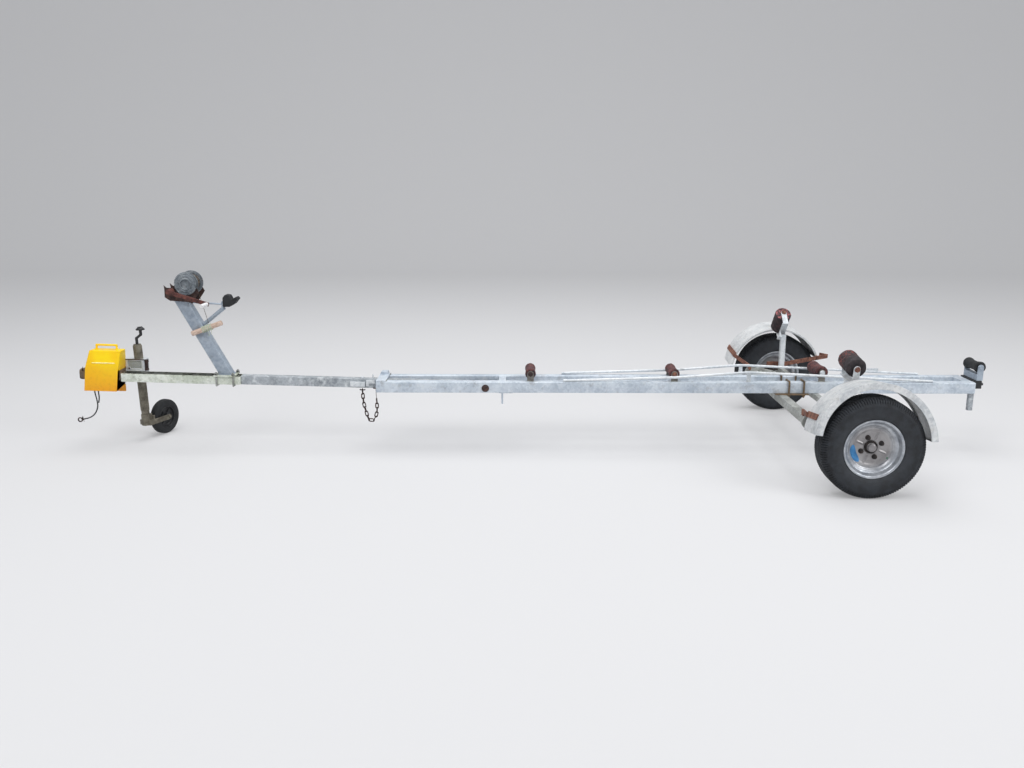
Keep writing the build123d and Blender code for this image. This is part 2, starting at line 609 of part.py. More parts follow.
cable_path = cord_path(CABLE_POINTS)
for name, path in (("safety_cable", cable_path), ("safety_cable_strand", cord_path(STRAND_POINTS))):
    cord = sweep(Plane(origin=path @ 0, z_dir=path % 0) * Circle(CABLE_RADIUS), path=path)
    nodes[name] = on_drawbar(cord)
    print(name, "length", round(path.length, 1))
print("bend radii", [round(radius) for radius in bend_radii(CABLE_POINTS) + bend_radii(STRAND_POINTS)])
hook_frame = Plane(origin=cable_path @ 1, x_dir=(0, 1, 0), z_dir=cable_path % 1)
hook = extrude(hook_frame * Circle(CABLE_RADIUS), 14)
ring = Cylinder(14, 6) - Cylinder(8, 7)
hook += hook_frame * Pos(0, 0, 26) * Rot(0, 90, 0) * ring
nodes["cable_hook"] = on_drawbar(hook)

# The main frame's rails, joined by cross-members and a front plate that rests on the drawbar
for name, side in SIDES.items():
    rail_span = mirrored_span(RAIL_INNER, RAIL_OUTER, side)
    rail = square_tube((RAIL_FRONT, RAIL_REAR), rail_span, (RAIL_BOTTOM, RAIL_TOP), TUBE_WALL)
    rail -= rod((pivot.X, side * 40, pivot.Z), (pivot.X, side * 120, pivot.Z), PIVOT_RADIUS + RUNNING_FIT)
    nodes["rail_" + name] = rail

drawbar_top = on_drawbar(Pos(RAIL_FRONT - PIVOT_X, 0, half)).position.Z
plate_span = (RAIL_FRONT, RAIL_FRONT + PLATE_LENGTH)
front_plate = block(plate_span, (-RAIL_OUTER, RAIL_OUTER), (RAIL_TOP, RAIL_TOP + PLATE_THICKNESS))
front_plate += block(plate_span, (-PAD_WIDTH / 2, PAD_WIDTH / 2), (drawbar_top + SEAT_GAP, RAIL_TOP))
lump = [
    (RAIL_FRONT, RAIL_TOP + PLATE_THICKNESS - 1),
    (RAIL_FRONT + 8, 402),
    (RAIL_FRONT + 44, 402),
    (RAIL_FRONT + 48, RAIL_TOP + PLATE_THICKNESS - 1),
]
nodes["front_plate"] = front_plate + side_plate(lump, (RAIL_INNER, RAIL_OUTER))

crosses = []
for cross_x in [FRONT_CROSS_X] + [roller[1] for roller in KEEL_ROLLERS]:
    span = (cross_x - CROSS_WIDTH / 2, cross_x + CROSS_WIDTH / 2)
    cross_top = FRONT_CROSS_TOP if cross_x == FRONT_CROSS_X else RAIL_BOTTOM + CROSS_HEIGHT
    crosses.append(block(span, (-RAIL_INNER, RAIL_INNER), (RAIL_BOTTOM, cross_top)))
rear_span = (RAIL_REAR - RAIL_WIDTH, RAIL_REAR)
crosses.append(block(rear_span, (-RAIL_INNER, RAIL_INNER), (RAIL_BOTTOM, RAIL_TOP)))
stud = rod((FRONT_CROSS_X, -80, 252), (FRONT_CROSS_X, -80, RAIL_BOTTOM), 5)
stud += block((FRONT_CROSS_X - 20, FRONT_CROSS_X + 58), (-98, -62), (RAIL_BOTTOM - 4, RAIL_BOTTOM))
crosses.append(stud)
nodes["cross_members"] = group(crosses)

bolt = rod((pivot.X, -RAIL_OUTER, pivot.Z), (pivot.X, RAIL_OUTER, pivot.Z), PIVOT_RADIUS)
for side in SIDES.values():
    bolt += hex_head((pivot.X, side * RAIL_OUTER, pivot.Z), (0, side, 0), BOLT_HEAD_WIDTH, BOLT_HEAD_HEIGHT)
nodes["pivot_bolt"] = bolt

leg_span = (RAIL_REAR - 26, RAIL_REAR)
nodes["rear_leg"] = square_tube(leg_span, (-98, -73), (225, RAIL_BOTTOM), 3)

# Arched runner rod with its short post on each rail
runners = []
for side in SIDES.values():
    points = [(x, side * RUNNER_Y, RAIL_TOP + RUNNER_RADIUS + rise) for x, rise in RUNNER_POINTS]
    path = FilletPolyline(*points, radius=RUNNER_BENDS)
    runner = sweep(Plane(origin=path @ 0, z_dir=path % 0) * Circle(RUNNER_RADIUS), path=path)
    peak_x, _, peak_z = points[2]
    runner += block((peak_x - 11, peak_x + 11), mirrored_span(RUNNER_Y - 3, RUNNER_Y + 3, side), (RAIL_TOP, peak_z - 5))
    runners.append(runner)
runners[1] += block((314, 377), (RUNNER_Y - 2, RUNNER_Y + 2), (RAIL_TOP + 16, RAIL_TOP + 38))
nodes["runners"] = group(runners)

# Axle: beam under the rails, clamp plates with U-bolts, trailing arms with the wheels' spindles
axle_half = AXLE_SIZE / 2
axle_z = AXLE_TOP - axle_half
beam_span = (AXLE_X - axle_half, AXLE_X + axle_half)
nodes["axle_beam"] = square_tube(
    beam_span, (-AXLE_HALF_LENGTH, AXLE_HALF_LENGTH), (AXLE_TOP - AXLE_SIZE, AXLE_TOP), TUBE_WALL
)
leg_gap = U_BOLT_RADIUS + 0.5
plates = []
for side in SIDES.values():
    plate = block(CLAMP_PLATE_X, mirrored_span(RAIL_INNER - 18, RAIL_OUTER + 18, side), (AXLE_TOP, RAIL_BOTTOM))
    for bolt_x in U_BOLT_X:
        top = RAIL_TOP + leg_gap
        inner_leg = side * (RAIL_INNER - leg_gap)
        outer_leg = side * (RAIL_OUTER + leg_gap)
        u_bolt = rod((bolt_x, inner_leg, top), (bolt_x, outer_leg, top), U_BOLT_RADIUS)
        for leg_y in (inner_leg, outer_leg):
            u_bolt += Pos(bolt_x, leg_y, top) * Sphere(U_BOLT_RADIUS)
            u_bolt += rod((bolt_x, leg_y, top), (bolt_x, leg_y, AXLE_TOP - 16), U_BOLT_RADIUS)
            u_bolt += hex_head((bolt_x, leg_y, AXLE_TOP), (0, 0, -1), 17, 8)
            plate -= rod((bolt_x, leg_y, AXLE_TOP - 1), (bolt_x, leg_y, RAIL_BOTTOM + 1), U_BOLT_RADIUS + 0.5)
        plates.append(u_bolt)
    plates.append(plate)
nodes["axle_clamps"] = group(plates)

arms = []
for side in SIDES.values():
    arm_span = mirrored_span(AXLE_HALF_LENGTH, AXLE_HALF_LENGTH + ARM_THICKNESS, side)
    front = (AXLE_X, axle_z)
    rear = (0, TYRE_RADIUS)
    lean = math.atan2(rear[1] - front[1], rear[0] - front[0])
    up = (-math.sin(lean) * ARM_END_RADIUS, math.cos(lean) * ARM_END_RADIUS)
    outline = [
        (front[0] + up[0], front[1] + up[1]),
        (rear[0] + up[0], rear[1] + up[1]),
        (rear[0] - up[0], rear[1] - up[1]),
        (front[0] - up[0], front[1] - up[1]),
    ]
    arm = side_plate(outline, arm_span)
    for centre in (front, rear):
        arm += rod((centre[0], arm_span[0], centre[1]), (centre[0], arm_span[1], centre[1]), ARM_END_RADIUS)
    arm -= block(
        (BILGE_X - 15.3, BILGE_X + 15.3), arm_span, (RAIL_BOTTOM - BILGE_TUBE - SEAT_GAP, RAIL_BOTTOM)
    )
    spindle_start = side * (AXLE_HALF_LENGTH + ARM_THICKNESS)
    spindle_end = side * (WHEEL_Y + 10)
    arm += rod((0, spindle_start, TYRE_RADIUS), (0, spindle_end, TYRE_RADIUS), SPINDLE_RADIUS)
    arms.append(arm)
nodes["axle_arms"] = group(arms)

bilge_half = BILGE_TUBE / 2
bilge_span = (BILGE_X - bilge_half, BILGE_X + bilge_half)
nodes["bilge_tube"] = square_tube(
    bilge_span, (-BILGE_Y - bilge_half, BILGE_Y + bilge_half), (RAIL_BOTTOM - BILGE_TUBE, RAIL_BOTTOM), 3
)

# Mudguards with a deep outer lip and a shallow inner lip, on front and rear stays
sheet_inside = MUDGUARD_RADIUS - MUDGUARD_SHEET
guard_middle = (MUDGUARD_INNER + MUDGUARD_OUTER) / 2
guard_places = {}
for name, middle_x, arc_rear, arc_front, roll in MUDGUARDS:
    side = SIDES[name]
    section = [
        (MUDGUARD_RADIUS, side * MUDGUARD_INNER),
        (MUDGUARD_RADIUS, side * MUDGUARD_OUTER),
        (MUDGUARD_RADIUS - OUTER_LIP, side * MUDGUARD_OUTER),
        (MUDGUARD_RADIUS - OUTER_LIP, side * (MUDGUARD_OUTER - MUDGUARD_SHEET)),
        (sheet_inside, side * (MUDGUARD_OUTER - MUDGUARD_SHEET)),
        (sheet_inside, side * (MUDGUARD_INNER + MUDGUARD_SHEET)),
        (MUDGUARD_RADIUS - INNER_LIP, side * (MUDGUARD_INNER + MUDGUARD_SHEET)),
        (MUDGUARD_RADIUS - INNER_LIP, side * MUDGUARD_INNER),
    ]
    guard = revolve(Polygon(*section, align=None), Axis.Y, revolution_arc=arc_front - arc_rear)
    rolled = Pos(middle_x, side * guard_middle, MUDGUARD_Z) * Rot(side * roll, 0, 0)
    guard_places[name] = rolled * Pos(0, -side * guard_middle, 0)
    nodes["mudguard_" + name] = guard_places[name] * Rot(0, -arc_front, 0) * guard


def flat_stay(points, foot_z, slope, side):
    """A flat bar on edge that follows (x, y) points on one side of the trailer and rises outwards."""
    run = Polyline(*[(x, side * y) for x, y in points])
    strip = make_face(offset(run, STAY_THICKNESS / 2, side=Side.BOTH, kind=Kind.INTERSECTION))
    hinge = Pos(0, side * points[0][1], foot_z)
    return hinge * Rot(side * slope, 0, 0) * Pos(0, -side * points[0][1], 0) * extrude(strip, STAY_HEIGHT)


# The front stays end in straps across the front of the mudguards, the rear ones are bolted to the inner lips
stays = []
for name, foot_z, slope, (bolt_x, bolt_z), points in STAYS:
    side = SIDES[name]
    stays.append(flat_stay(points, foot_z, slope, side))
    bolt_y = (694.0, 735.0)
    shank = rod((bolt_x, side * bolt_y[0], bolt_z), (bolt_x, side * bolt_y[1], bolt_z), STAY_BOLT_RADIUS)
    stays.append(shank + hex_head((bolt_x, side * bolt_y[0], bolt_z), (0, -side, 0), 13, 5))
    bore = rod((bolt_x, side * bolt_y[0], bolt_z), (bolt_x, side * 740, bolt_z), STAY_BOLT_RADIUS + 0.08)
    nodes["mudguard_" + name] -= bore
strap_inner = MUDGUARD_RADIUS + SEAT_GAP
strap_outer = strap_inner + STAY_THICKNESS
for name, outer_end in STRAPS:
    side = SIDES[name]
    strap_section = [
        (strap_inner, side * (MUDGUARD_INNER - 9)),
        (strap_inner, side * outer_end),
        (strap_outer, side * outer_end),
        (strap_outer, side * (MUDGUARD_INNER - 9)),
    ]
    strap = revolve(Polygon(*strap_section, align=None), Axis.Y, revolution_arc=STRAP_ANGLES[1] - STRAP_ANGLES[0])
    strap = guard_places[name] * Rot(0, -STRAP_ANGLES[1], 0) * strap
    middle = strap.center()
    link_start = Vector(AXLE_X - 20, side * (AXLE_HALF_LENGTH - 22), AXLE_TOP + 19)
    link_end = Vector(middle.X - 8.5, side * (MUDGUARD_INNER - 6), middle.Z - 8)
    link_plane = Plane(origin=link_start, x_dir=(0, 0, 1), z_dir=(link_end - link_start))
    link = extrude(link_plane * Rectangle(24, STAY_THICKNESS), (link_end - link_start).length)
    foot_span = mirrored_span(AXLE_HALF_LENGTH - 40, AXLE_HALF_LENGTH - 14, side)
    link += block((AXLE_X - 26, AXLE_X - 14), foot_span, (AXLE_TOP, AXLE_TOP + 31))
    stays.append(link + strap)
nodes["mudguard_stays"] = group(stays)


# Rollers on their pins
def roller(half_length, radius, waist, bore):
    """A rubber roller on a crosswise axis, a little narrower at its waist."""
    edge = 5.0
    return turned(
        [
            (-half_length, bore),
            (-half_length, radius - edge),
            (-half_length + edge, radius),
            (-half_length / 3, waist),
            (half_length / 3, waist),
            (half_length - edge, radius),
            (half_length, radius - edge),
            (half_length, bore),
        ]
    )


pin_bore = ROLLER_PIN_RADIUS + RUNNING_FIT
brackets = {}
for name, x, z, half_length, radius, waist in KEEL_ROLLERS:
    nodes[name] = Pos(x, 0, z) * roller(half_length, radius, waist, pin_bore)
    arm_inner = half_length + BRACKET_GAP
    arm_outer = arm_inner + BRACKET_PLATE
    bracket = rod((x, -arm_outer - 6, z), (x, arm_outer + 6, z), ROLLER_PIN_RADIUS)
    for side in SIDES.values():
        bracket += block((x - 18, x + 18), mirrored_span(arm_inner, arm_outer, side), (RAIL_TOP, z))
        bracket += rod((x, side * arm_inner, z), (x, side * arm_outer, z), 18)
    brackets[name] = bracket
nodes["keel_roller_bracket_front"] = brackets.pop("keel_roller_front")
nodes["keel_roller_brackets"] = group(brackets.values())

nodes["rear_roller"] = Pos(REAR_ROLLER_X, 0, REAR_ROLLER_Z) * roller(
    REAR_ROLLER_HALF, REAR_ROLLER_RADIUS, REAR_ROLLER_WAIST, pin_bore
)
rear_inner = REAR_ROLLER_HALF + BRACKET_GAP
rear_outer = rear_inner + BRACKET_PLATE
arm_span = (REAR_ROLLER_X - REAR_ARM_HALF, REAR_ROLLER_X + REAR_ARM_HALF)
rear_bracket = rod(
    (REAR_ROLLER_X, -rear_outer - 6, REAR_ROLLER_Z), (REAR_ROLLER_X, rear_outer + 6, REAR_ROLLER_Z), ROLLER_PIN_RADIUS
)
rear_bracket += block(arm_span, (-rear_outer, rear_outer), (REAR_BAR_Z[1], REAR_BASE_TOP))
for side in SIDES.values():
    plate_span = mirrored_span(rear_inner, rear_outer, side)
    rear_bracket += block(arm_span, plate_span, (REAR_BASE_TOP, REAR_ROLLER_Z))
    rear_bracket += rod(
        (REAR_ROLLER_X, plate_span[0], REAR_ROLLER_Z), (REAR_ROLLER_X, plate_span[1], REAR_ROLLER_Z), REAR_ARM_HALF
    )
    rear_bracket += hex_head((REAR_ROLLER_X, side * rear_outer, REAR_ROLLER_Z), (0, side, 0), 22, 7)
nodes["rear_roller_bracket"] = rear_bracket
rear_bar = block((RAIL_REAR, RAIL_REAR + 46), (-rear_outer, rear_outer), REAR_BAR_Z)
rear_bar += hex_head((RAIL_REAR + 46, -60, 364), (1, 0, 0), 15, 13)
nodes["rear_roller_bar"] = rear_bar

posts = []
forks = []
for name, pivot_z, tilt, slide in BILGE_SUPPORTS:
    side = SIDES[name]
    posts.append(square_tube(bilge_span, mirrored_span(BILGE_Y - bilge_half, BILGE_Y + bilge_half, side),
                             (RAIL_BOTTOM, pivot_z + 14), 3))
    place = Pos(BILGE_X, side * BILGE_Y, pivot_z) * Rot(-side * tilt, 0, 0)
    lug_front = -bilge_half - 6
    arm_inner = BILGE_ROLLER_HALF + BRACKET_GAP + 3
    arm_outer = arm_inner + 5
    arms = block((lug_front, BILGE_FORK_HALF), (-arm_outer, arm_outer), (24, 30))
    for end in (-1, 1):
        arms += block((-BILGE_FORK_HALF, BILGE_FORK_HALF), mirrored_span(arm_inner, arm_outer, end), (24, BILGE_ARM))
        arms += rod((0, end * arm_inner, BILGE_ARM), (0, end * arm_outer, BILGE_ARM), BILGE_FORK_HALF)
        arms += hex_head((0, end * arm_outer, BILGE_ARM), (0, end, 0), 24, 5)
    arms += rod((0, -arm_outer, BILGE_ARM), (0, arm_outer, BILGE_ARM), ROLLER_PIN_RADIUS)
    fork = block((lug_front, -bilge_half), (-16, 16), (-16, 30)) + Pos(0, slide, 0) * arms
    fork += rod((lug_front - 8, 0, 0), (-bilge_half + 2, 0, 0), 9)
    fork -= block((-bilge_half, bilge_half), (-16, 16), (-20, 15))
    forks.append(place * fork)
    nodes["bilge_roller_" + name] = place * Pos(0, slide, BILGE_ARM) * roller(
        BILGE_ROLLER_HALF, BILGE_ROLLER_RADIUS, BILGE_ROLLER_RADIUS - 1, pin_bore
    )
nodes["bilge_posts"] = group(posts)
nodes["bilge_forks"] = group(forks)

# Road wheels: tyre, rim with its disc, hub with studs and dust cap
tyre_half = TYRE_WIDTH / 2
lip_y = 62.0
disc_y = lip_y - DISC_INSET
tyre_section = Polygon(
    (130.3, -54.5), (142.5, -56.3), (146, -63), (168, -71), (192, -tyre_half), (224, -68), (TYRE_RADIUS, -52),
    (TYRE_RADIUS, 52), (224, 68), (192, tyre_half), (168, 71), (146, 63), (142.5, 56.3), (130.3, 54.5),
    align=None,
)
tyre_section = fillet(tyre_section.vertices().filter_by(lambda v: v.X > 190), 12)
rim_points = [
    (lip_y, RIM_LIP_RADIUS),
    (lip_y - 5, RIM_LIP_RADIUS),
    (lip_y - 7, 130),
    (32, 124),
    (26, WELL_RADIUS),
    (-26, WELL_RADIUS),
    (-32, 124),
    (-lip_y + 7, 130),
    (-lip_y + 5, RIM_LIP_RADIUS),
    (-lip_y, RIM_LIP_RADIUS),
    (-lip_y + 2, 126),
    (-35, 120),
    (-29, WELL_RADIUS - RIM_WALL),
    (disc_y - 4, WELL_RADIUS - RIM_WALL),
    (disc_y - 2, 88),
    (disc_y - DISC_WALL, 76),
    (disc_y - DISC_WALL, 30),
    (disc_y, 30),
    (disc_y, 74),
    (disc_y + 5, 86),
    (disc_y + 4, WELL_RADIUS - RIM_WALL),
    (29, WELL_RADIUS - RIM_WALL),
    (35, 120),
    (lip_y - 2, 126),
]
hub_back = disc_y - DISC_WALL
hub_points = [
    (-60, SPINDLE_RADIUS + RUNNING_FIT),
    (-60, 34),
    (hub_back - 14, 36),
    (hub_back - 14, HUB_RADIUS),
    (hub_back, HUB_RADIUS),
    (hub_back, 28),
    (disc_y + 8, 27),
    (disc_y + 8, HUB_CAP_RADIUS),
    (disc_y + 22, HUB_CAP_RADIUS - 2),
    (disc_y + 25, 0),
    (disc_y, 0),
    (disc_y, SPINDLE_RADIUS + RUNNING_FIT),
]
for name, side in SIDES.items():
    wheel_place = Pos(0, side * WHEEL_Y, TYRE_RADIUS)
    nodes["tyre_" + name] = wheel_place * revolve(tyre_section, Axis.Y)
    rim = turned([(side * y, radius) for y, radius in rim_points])
    hub = turned([(side * y, radius) for y, radius in hub_points])
    for index in range(STUD_COUNT):
        angle = math.radians(360 / STUD_COUNT * index + 22)
        x = STUD_CIRCLE / 2 * math.cos(angle)
        z = STUD_CIRCLE / 2 * math.sin(angle)
        rim -= rod((x, -80, z), (x, 80, z), STUD_RADIUS + 0.5)
        hub += rod((x, side * (hub_back - 1), z), (x, side * (disc_y + 20), z), STUD_RADIUS)
        hub += hex_head((x, side * disc_y, z), (0, side, 0), NUT_WIDTH, NUT_HEIGHT)
    nodes["rim_" + name] = wheel_place * rim
    nodes["hub_" + name] = wheel_place * hub

# Shift every piece so that the origin lies under the middle of the plan, leaving out the free cable
FREE_CABLE = ("safety_cable", "safety_cable_strand", "cable_hook")
plan = [shape.bounding_box() for name, shape in nodes.items() if name not in FREE_CABLE]
front = min(box.min.X for box in plan)
rear = max(box.max.X for box in plan)
to_origin = Pos(-(front + rear) / 2, 0, 0)
os.makedirs("parts", exist_ok=True)
for name, shape in nodes.items():
    export_step(to_origin * shape, "parts/" + name + ".step")
print("wheel axis at x", round(-(front + rear) / 2, 2), "length", round(rear - front, 1))
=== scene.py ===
"""Looks of a weathered galvanised boat trailer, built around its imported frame."""

import json
import math

import bmesh
import bpy
import numpy as np
from bpy.props import FloatProperty, FloatVectorProperty, IntProperty, PointerProperty
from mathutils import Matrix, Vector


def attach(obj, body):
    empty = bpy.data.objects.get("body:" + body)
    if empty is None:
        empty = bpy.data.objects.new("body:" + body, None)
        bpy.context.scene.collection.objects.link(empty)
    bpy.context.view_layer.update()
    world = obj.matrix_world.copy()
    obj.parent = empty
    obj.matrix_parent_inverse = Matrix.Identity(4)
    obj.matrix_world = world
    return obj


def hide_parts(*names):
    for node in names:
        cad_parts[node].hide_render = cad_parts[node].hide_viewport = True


bl_info = {
    "name": "Boat trailer",
    "version": (1, 0, 0),
    "blender": (4, 5, 0),
    "location": "View3D > Sidebar > Trailer",
    "description": "Dresses the boat trailer's frame with its materials and fine parts",
    "category": "Object",
}

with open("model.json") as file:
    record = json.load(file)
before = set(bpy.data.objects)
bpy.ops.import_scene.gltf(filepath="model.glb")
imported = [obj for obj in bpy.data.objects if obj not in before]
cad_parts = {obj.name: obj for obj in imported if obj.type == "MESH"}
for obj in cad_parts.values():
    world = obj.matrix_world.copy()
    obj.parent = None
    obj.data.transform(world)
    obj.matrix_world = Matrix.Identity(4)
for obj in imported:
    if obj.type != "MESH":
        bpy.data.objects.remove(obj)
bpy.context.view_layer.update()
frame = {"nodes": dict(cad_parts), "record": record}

# Places of the frame, in millimetres. x is counted from the wheel axis, as in the frame's own source.
AXIS_X = 1591.85
PIVOT_X = -1823.0
DRAWBAR_Z = 335.0
DRAWBAR_RISE = math.radians(1.5)
SIDES = {"left": -1, "right": 1}

# Road wheels: places across and up, the first stud's angle in degrees and the studs' circle
WHEEL_Y = 833.5
TYRE_RADIUS = 243.0
STUD_START = 22.0
STUD_REACH = 50.0

# Jockey wheel: its tube in the drawbar's frame (u, v), the swivel's foot along the tube, the wheel behind it
JOCKEY_PLACE = (-1951.0, 78.0)
JOCKEY_LEAN = math.radians(3.2)
SWIVEL_FOOT = -236.0
JOCKEY_HEADING = math.radians(69)
JOCKEY_TRAIL = 148.0
JOCKEY_RADIUS = 100.0

# Winch: axes of the drum and the crank in the drawbar's frame (u, w), and the crank's reach to its grip
DRUM = (-1623.0, 528.0)
CRANK = (-1702.0, 485.0)
CRANK_REACH = (201.0, -57.0)

# The wooden bar's ends in the drawbar's frame, its radius, and the turns of its lashing along it
BAR_ENDS = ((-1606.0, -44.5, 256.0), (-1439.0, -44.5, 322.0))
BAR_RADIUS = 13.9
LASHING_TURNS = 13
LASHING_START = 66.0
LASHING_PITCH = 4.3

# Bilge rollers: name, height of the tilting pivot, tilt in degrees, place along the fork; what both share
BILGE = [("left", 479.0, 10.0, 0.0), ("right", 515.0, 48.0, -15.0)]
BILGE_X = -28.0
BILGE_Y = 580.0
BILGE_RISE = 110.0

# Keel rollers: name, x, z, radius, radius at the waist, and the slot of the finish of their nuts
KEEL = [
    ("keel_roller_rear", 4.0, 430.0, 36.0, 32.0, 2),
    ("keel_roller_middle", -794.0, 420.0, 30.0, 27.0, 3),
    ("keel_roller_front", -1577.0, 420.0, 30.0, 27.0, 1),
]
REAR_ROLLER = (863.0, 0.0, 458.0)

# Mudguards: name, x of the arc's middle, the arc's rear and front angle and the outward roll in degrees
MUDGUARDS = [("left", -2.0, 2.0, 172.0, 8.0), ("right", -22.0, 20.0, 173.0, 5.0)]
MUDGUARD_Y = 831.5
MUDGUARD_Z = 266.0

# Safety chain: its start in the drawbar's frame, pitch, wire's radius and each link's heading in degrees
CHAIN_START = (-681.0, -36.0, -31.0)
CHAIN_PITCH = 25.4
CHAIN_WIRE = 3.0
CHAIN_HEADINGS = [-84, -88, -82, -78, -73, -74, -68, -5, 62, 75, 88, 92, 94]

# Breakaway cable: points (u, w) that its spline and its second strand's follow, at one place across
CABLE = [
    (-2171, -18), (-2171, -86), (-2160, -130), (-2156, -172), (-2173, -214), (-2206, -240), (-2236, -246),
]
STRAND = [(-2149, -18), (-2149, -88), (-2145, -122), (-2151, -150)]
CABLE_V = -29.0

# The photograph's camera: sensor in millimetres, focus and width in pixels, place in metres, dip and yaw
SENSOR = 36.0
FOCAL_PIXELS = 920.0
PHOTO_PIXELS = 1024.0
CAMERA_PLACE = ((AXIS_X - 1635.0) / 1000.0, -4.975, 1.485)
CAMERA_DIP = 12.9
CAMERA_YAW = 0.5

BODY_OF = {node: body for body, nodes in frame["record"]["behaviour"]["bodies"].items() for node in nodes}


def place(points):
    """Millimetres from the wheel axis to metres in the row frame."""
    points = np.asarray(points, float)
    return (points + np.array([AXIS_X, 0.0, 0.0])) / 1000.0


def on_drawbar(points):
    """Drawbar coordinates (u along, v across, w up) turned by the drawbar's rise and put in the row frame."""
    u, v, w = np.moveaxis(np.asarray(points, float), -1, 0)
    s, c = math.sin(DRAWBAR_RISE), math.cos(DRAWBAR_RISE)
    x = PIVOT_X + u * c + w * s
    z = DRAWBAR_Z - u * s + w * c
    return place(np.stack([x, v, z], -1))


def on_jockey(points):
    """Points of the leaning jockey tube's frame, z along the tube, in the row frame."""
    x, y, z = np.moveaxis(np.asarray(points, float), -1, 0)
    s, c = math.sin(-JOCKEY_LEAN), math.cos(JOCKEY_LEAN)
    return on_drawbar(np.stack([JOCKEY_PLACE[0] + x * c + z * s, y + JOCKEY_PLACE[1], z * c - x * s], -1))


def on_fork(points):
    """Points of the fork's frame, x along its heading, z up from the floor, in the row frame."""
    x, y, z = np.moveaxis(np.asarray(points, float), -1, 0)
    foot = on_jockey([0.0, 0.0, SWIVEL_FOOT]) * 1000.0
    s, c = math.sin(JOCKEY_HEADING), math.cos(JOCKEY_HEADING)
    return np.stack([foot[0] + x * c - y * s, foot[1] + x * s + y * c, z], -1) / 1000.0


def leaned(points, middle, degrees):
    """Points turned about the x axis, then moved from the origin to the middle, put in the row frame."""
    x, y, z = np.moveaxis(np.asarray(points, float), -1, 0)
    s, c = math.sin(math.radians(degrees)), math.cos(math.radians(degrees))
    return place(np.stack([x, y * c - z * s, y * s + z * c], -1) + np.asarray(middle, float))


# Surfaces


def grid_faces(rows, columns, close_rows=False, close_columns=False):
    """Quads between neighbouring points of a rows by columns grid, wrapped round where it is closed."""
    r = np.arange(rows if close_rows else rows - 1)
    c = np.arange(columns if close_columns else columns - 1)
    r, c = np.meshgrid(r, c, indexing="ij")
    next_r, next_c = (r + 1) % rows, (c + 1) % columns
    corners = [r * columns + c, r * columns + next_c, next_r * columns + next_c, next_r * columns + c]
    return np.stack([corner.ravel() for corner in corners], 1)


class Shape:
    """Collects grids of points, put in the row frame by frame_of, and their faces for one mesh."""

    def __init__(self, frame_of=place):
        self.frame_of = frame_of
        self.points = []
        self.faces = []
        self.slots = []
        self.count = 0

    def add(self, grid, slot=0, close_rows=False, close_columns=False, caps=False):
        """Adds a grid of points; caps closes its first and last row with one face each."""
        rows, columns = grid.shape[:2]
        faces = grid_faces(rows, columns, close_rows, close_columns) + self.count
        self.points.append(self.frame_of(grid).reshape(-1, 3))
        self.faces.extend(faces.tolist())
        self.slots.extend([slot] * len(faces))
        if caps:
            first = (np.arange(columns) + self.count).tolist()
            last = (np.arange(columns) + self.count + (rows - 1) * columns).tolist()
            self.faces.extend([first[::-1], last])
            self.slots.extend([slot] * 2)
        self.count += rows * columns
        return self

    def rod(self, grid, slot=0):
        """Adds rows that are rings, with a cap at each end."""
        return self.add(grid, slot, close_columns=True, caps=True)

    def hoop(self, grid, slot=0):
        """Adds a grid that is closed both ways."""
        return self.add(grid, slot, close_rows=True, close_columns=True)

    def lathed(self, profile, segments, slot=0):
        """Adds a profile of (radius, y) points turned round the y axis."""
        return self.add(turned(profile, segments), slot, close_rows=True)

    def stud(self, profile, centre, direction, slot=0, segments=24):
        """Adds a profile of (radius, place) points turned round a direction, capped."""
        return self.rod(aimed(spun(profile, segments), centre, direction), slot)

    def tube(self, path, radius, count, side, size=1.0):
        """Adds a capped tube along an open path."""
        return self.rod(carried(circle(radius, count), path, side, size=size))

    def weld(self, corners, radius=3.0):
        """Adds a bead along a line of corners: a tube that swells and shrinks every 4 millimetres."""
        path = evened(corners, 1.6)
        swell = 1.0 + 0.22 * np.sin(np.arange(len(path)) * 2.5)
        return self.tube(path, radius, 8, np.cross(path[1] - path[0], [0.31, 0.17, 0.93]), swell)

    def fasten(self, centre, direction, size, stem=None, washer=None, slot=0, turn=0.0):
        """Adds a washer, a nut and the bolt's end, each stacked on the one before along the direction. The
        nut's size is its width and height, the washer's and the stem's their radius and height."""
        centre, direction = np.array([centre, direction], float)
        width, height = size
        if washer:
            radius, thick = washer
            flat = [(radius - 0.4, 0.0), (radius, 0.4), (radius, thick - 0.4), (radius - 0.5, thick)]
            self.stud(flat, centre, direction, slot)
            centre = centre + direction * thick
        self.rod(aimed(nut(width, height), centre, direction, turn), slot)
        if stem:
            radius, length = stem
            end = [(radius, height), (radius, height + length - 1.0), (radius - 1.0, height + length)]
            self.stud(end, centre, direction, slot, 16)

    def build(self, name, finishes, node, replaces=True, slot=None):
        """Makes the mesh with faces outwards. It rides with the node and may stand for it. The slot is not
        used.
        """
        mesh = bpy.data.meshes.new(name)
        mesh.from_pydata(np.concatenate(self.points).tolist(), [], self.faces)
        for material in finishes.split():
            mesh.materials.append(finish(material))
        mesh.polygons.foreach_set("material_index", self.slots)
        work = bmesh.new()
        work.from_mesh(mesh)
        bmesh.ops.remove_doubles(work, verts=work.verts, dist=1e-7)
        bmesh.ops.recalc_face_normals(work, faces=work.faces)
        work.to_mesh(mesh)
        work.free()
        mesh.shade_smooth()
        mesh.set_sharp_from_angle(angle=math.radians(35.0))
        settle(bpy.data.objects.new(name, mesh), node, replaces)


def settle(piece, node, replaces=True):
    """Lets a piece ride on a node's body and hides the node where the piece stands for it."""
    bpy.context.scene.collection.objects.link(piece)
    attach(piece, BODY_OF[node])
    if replaces:
        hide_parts(node)
    return piece


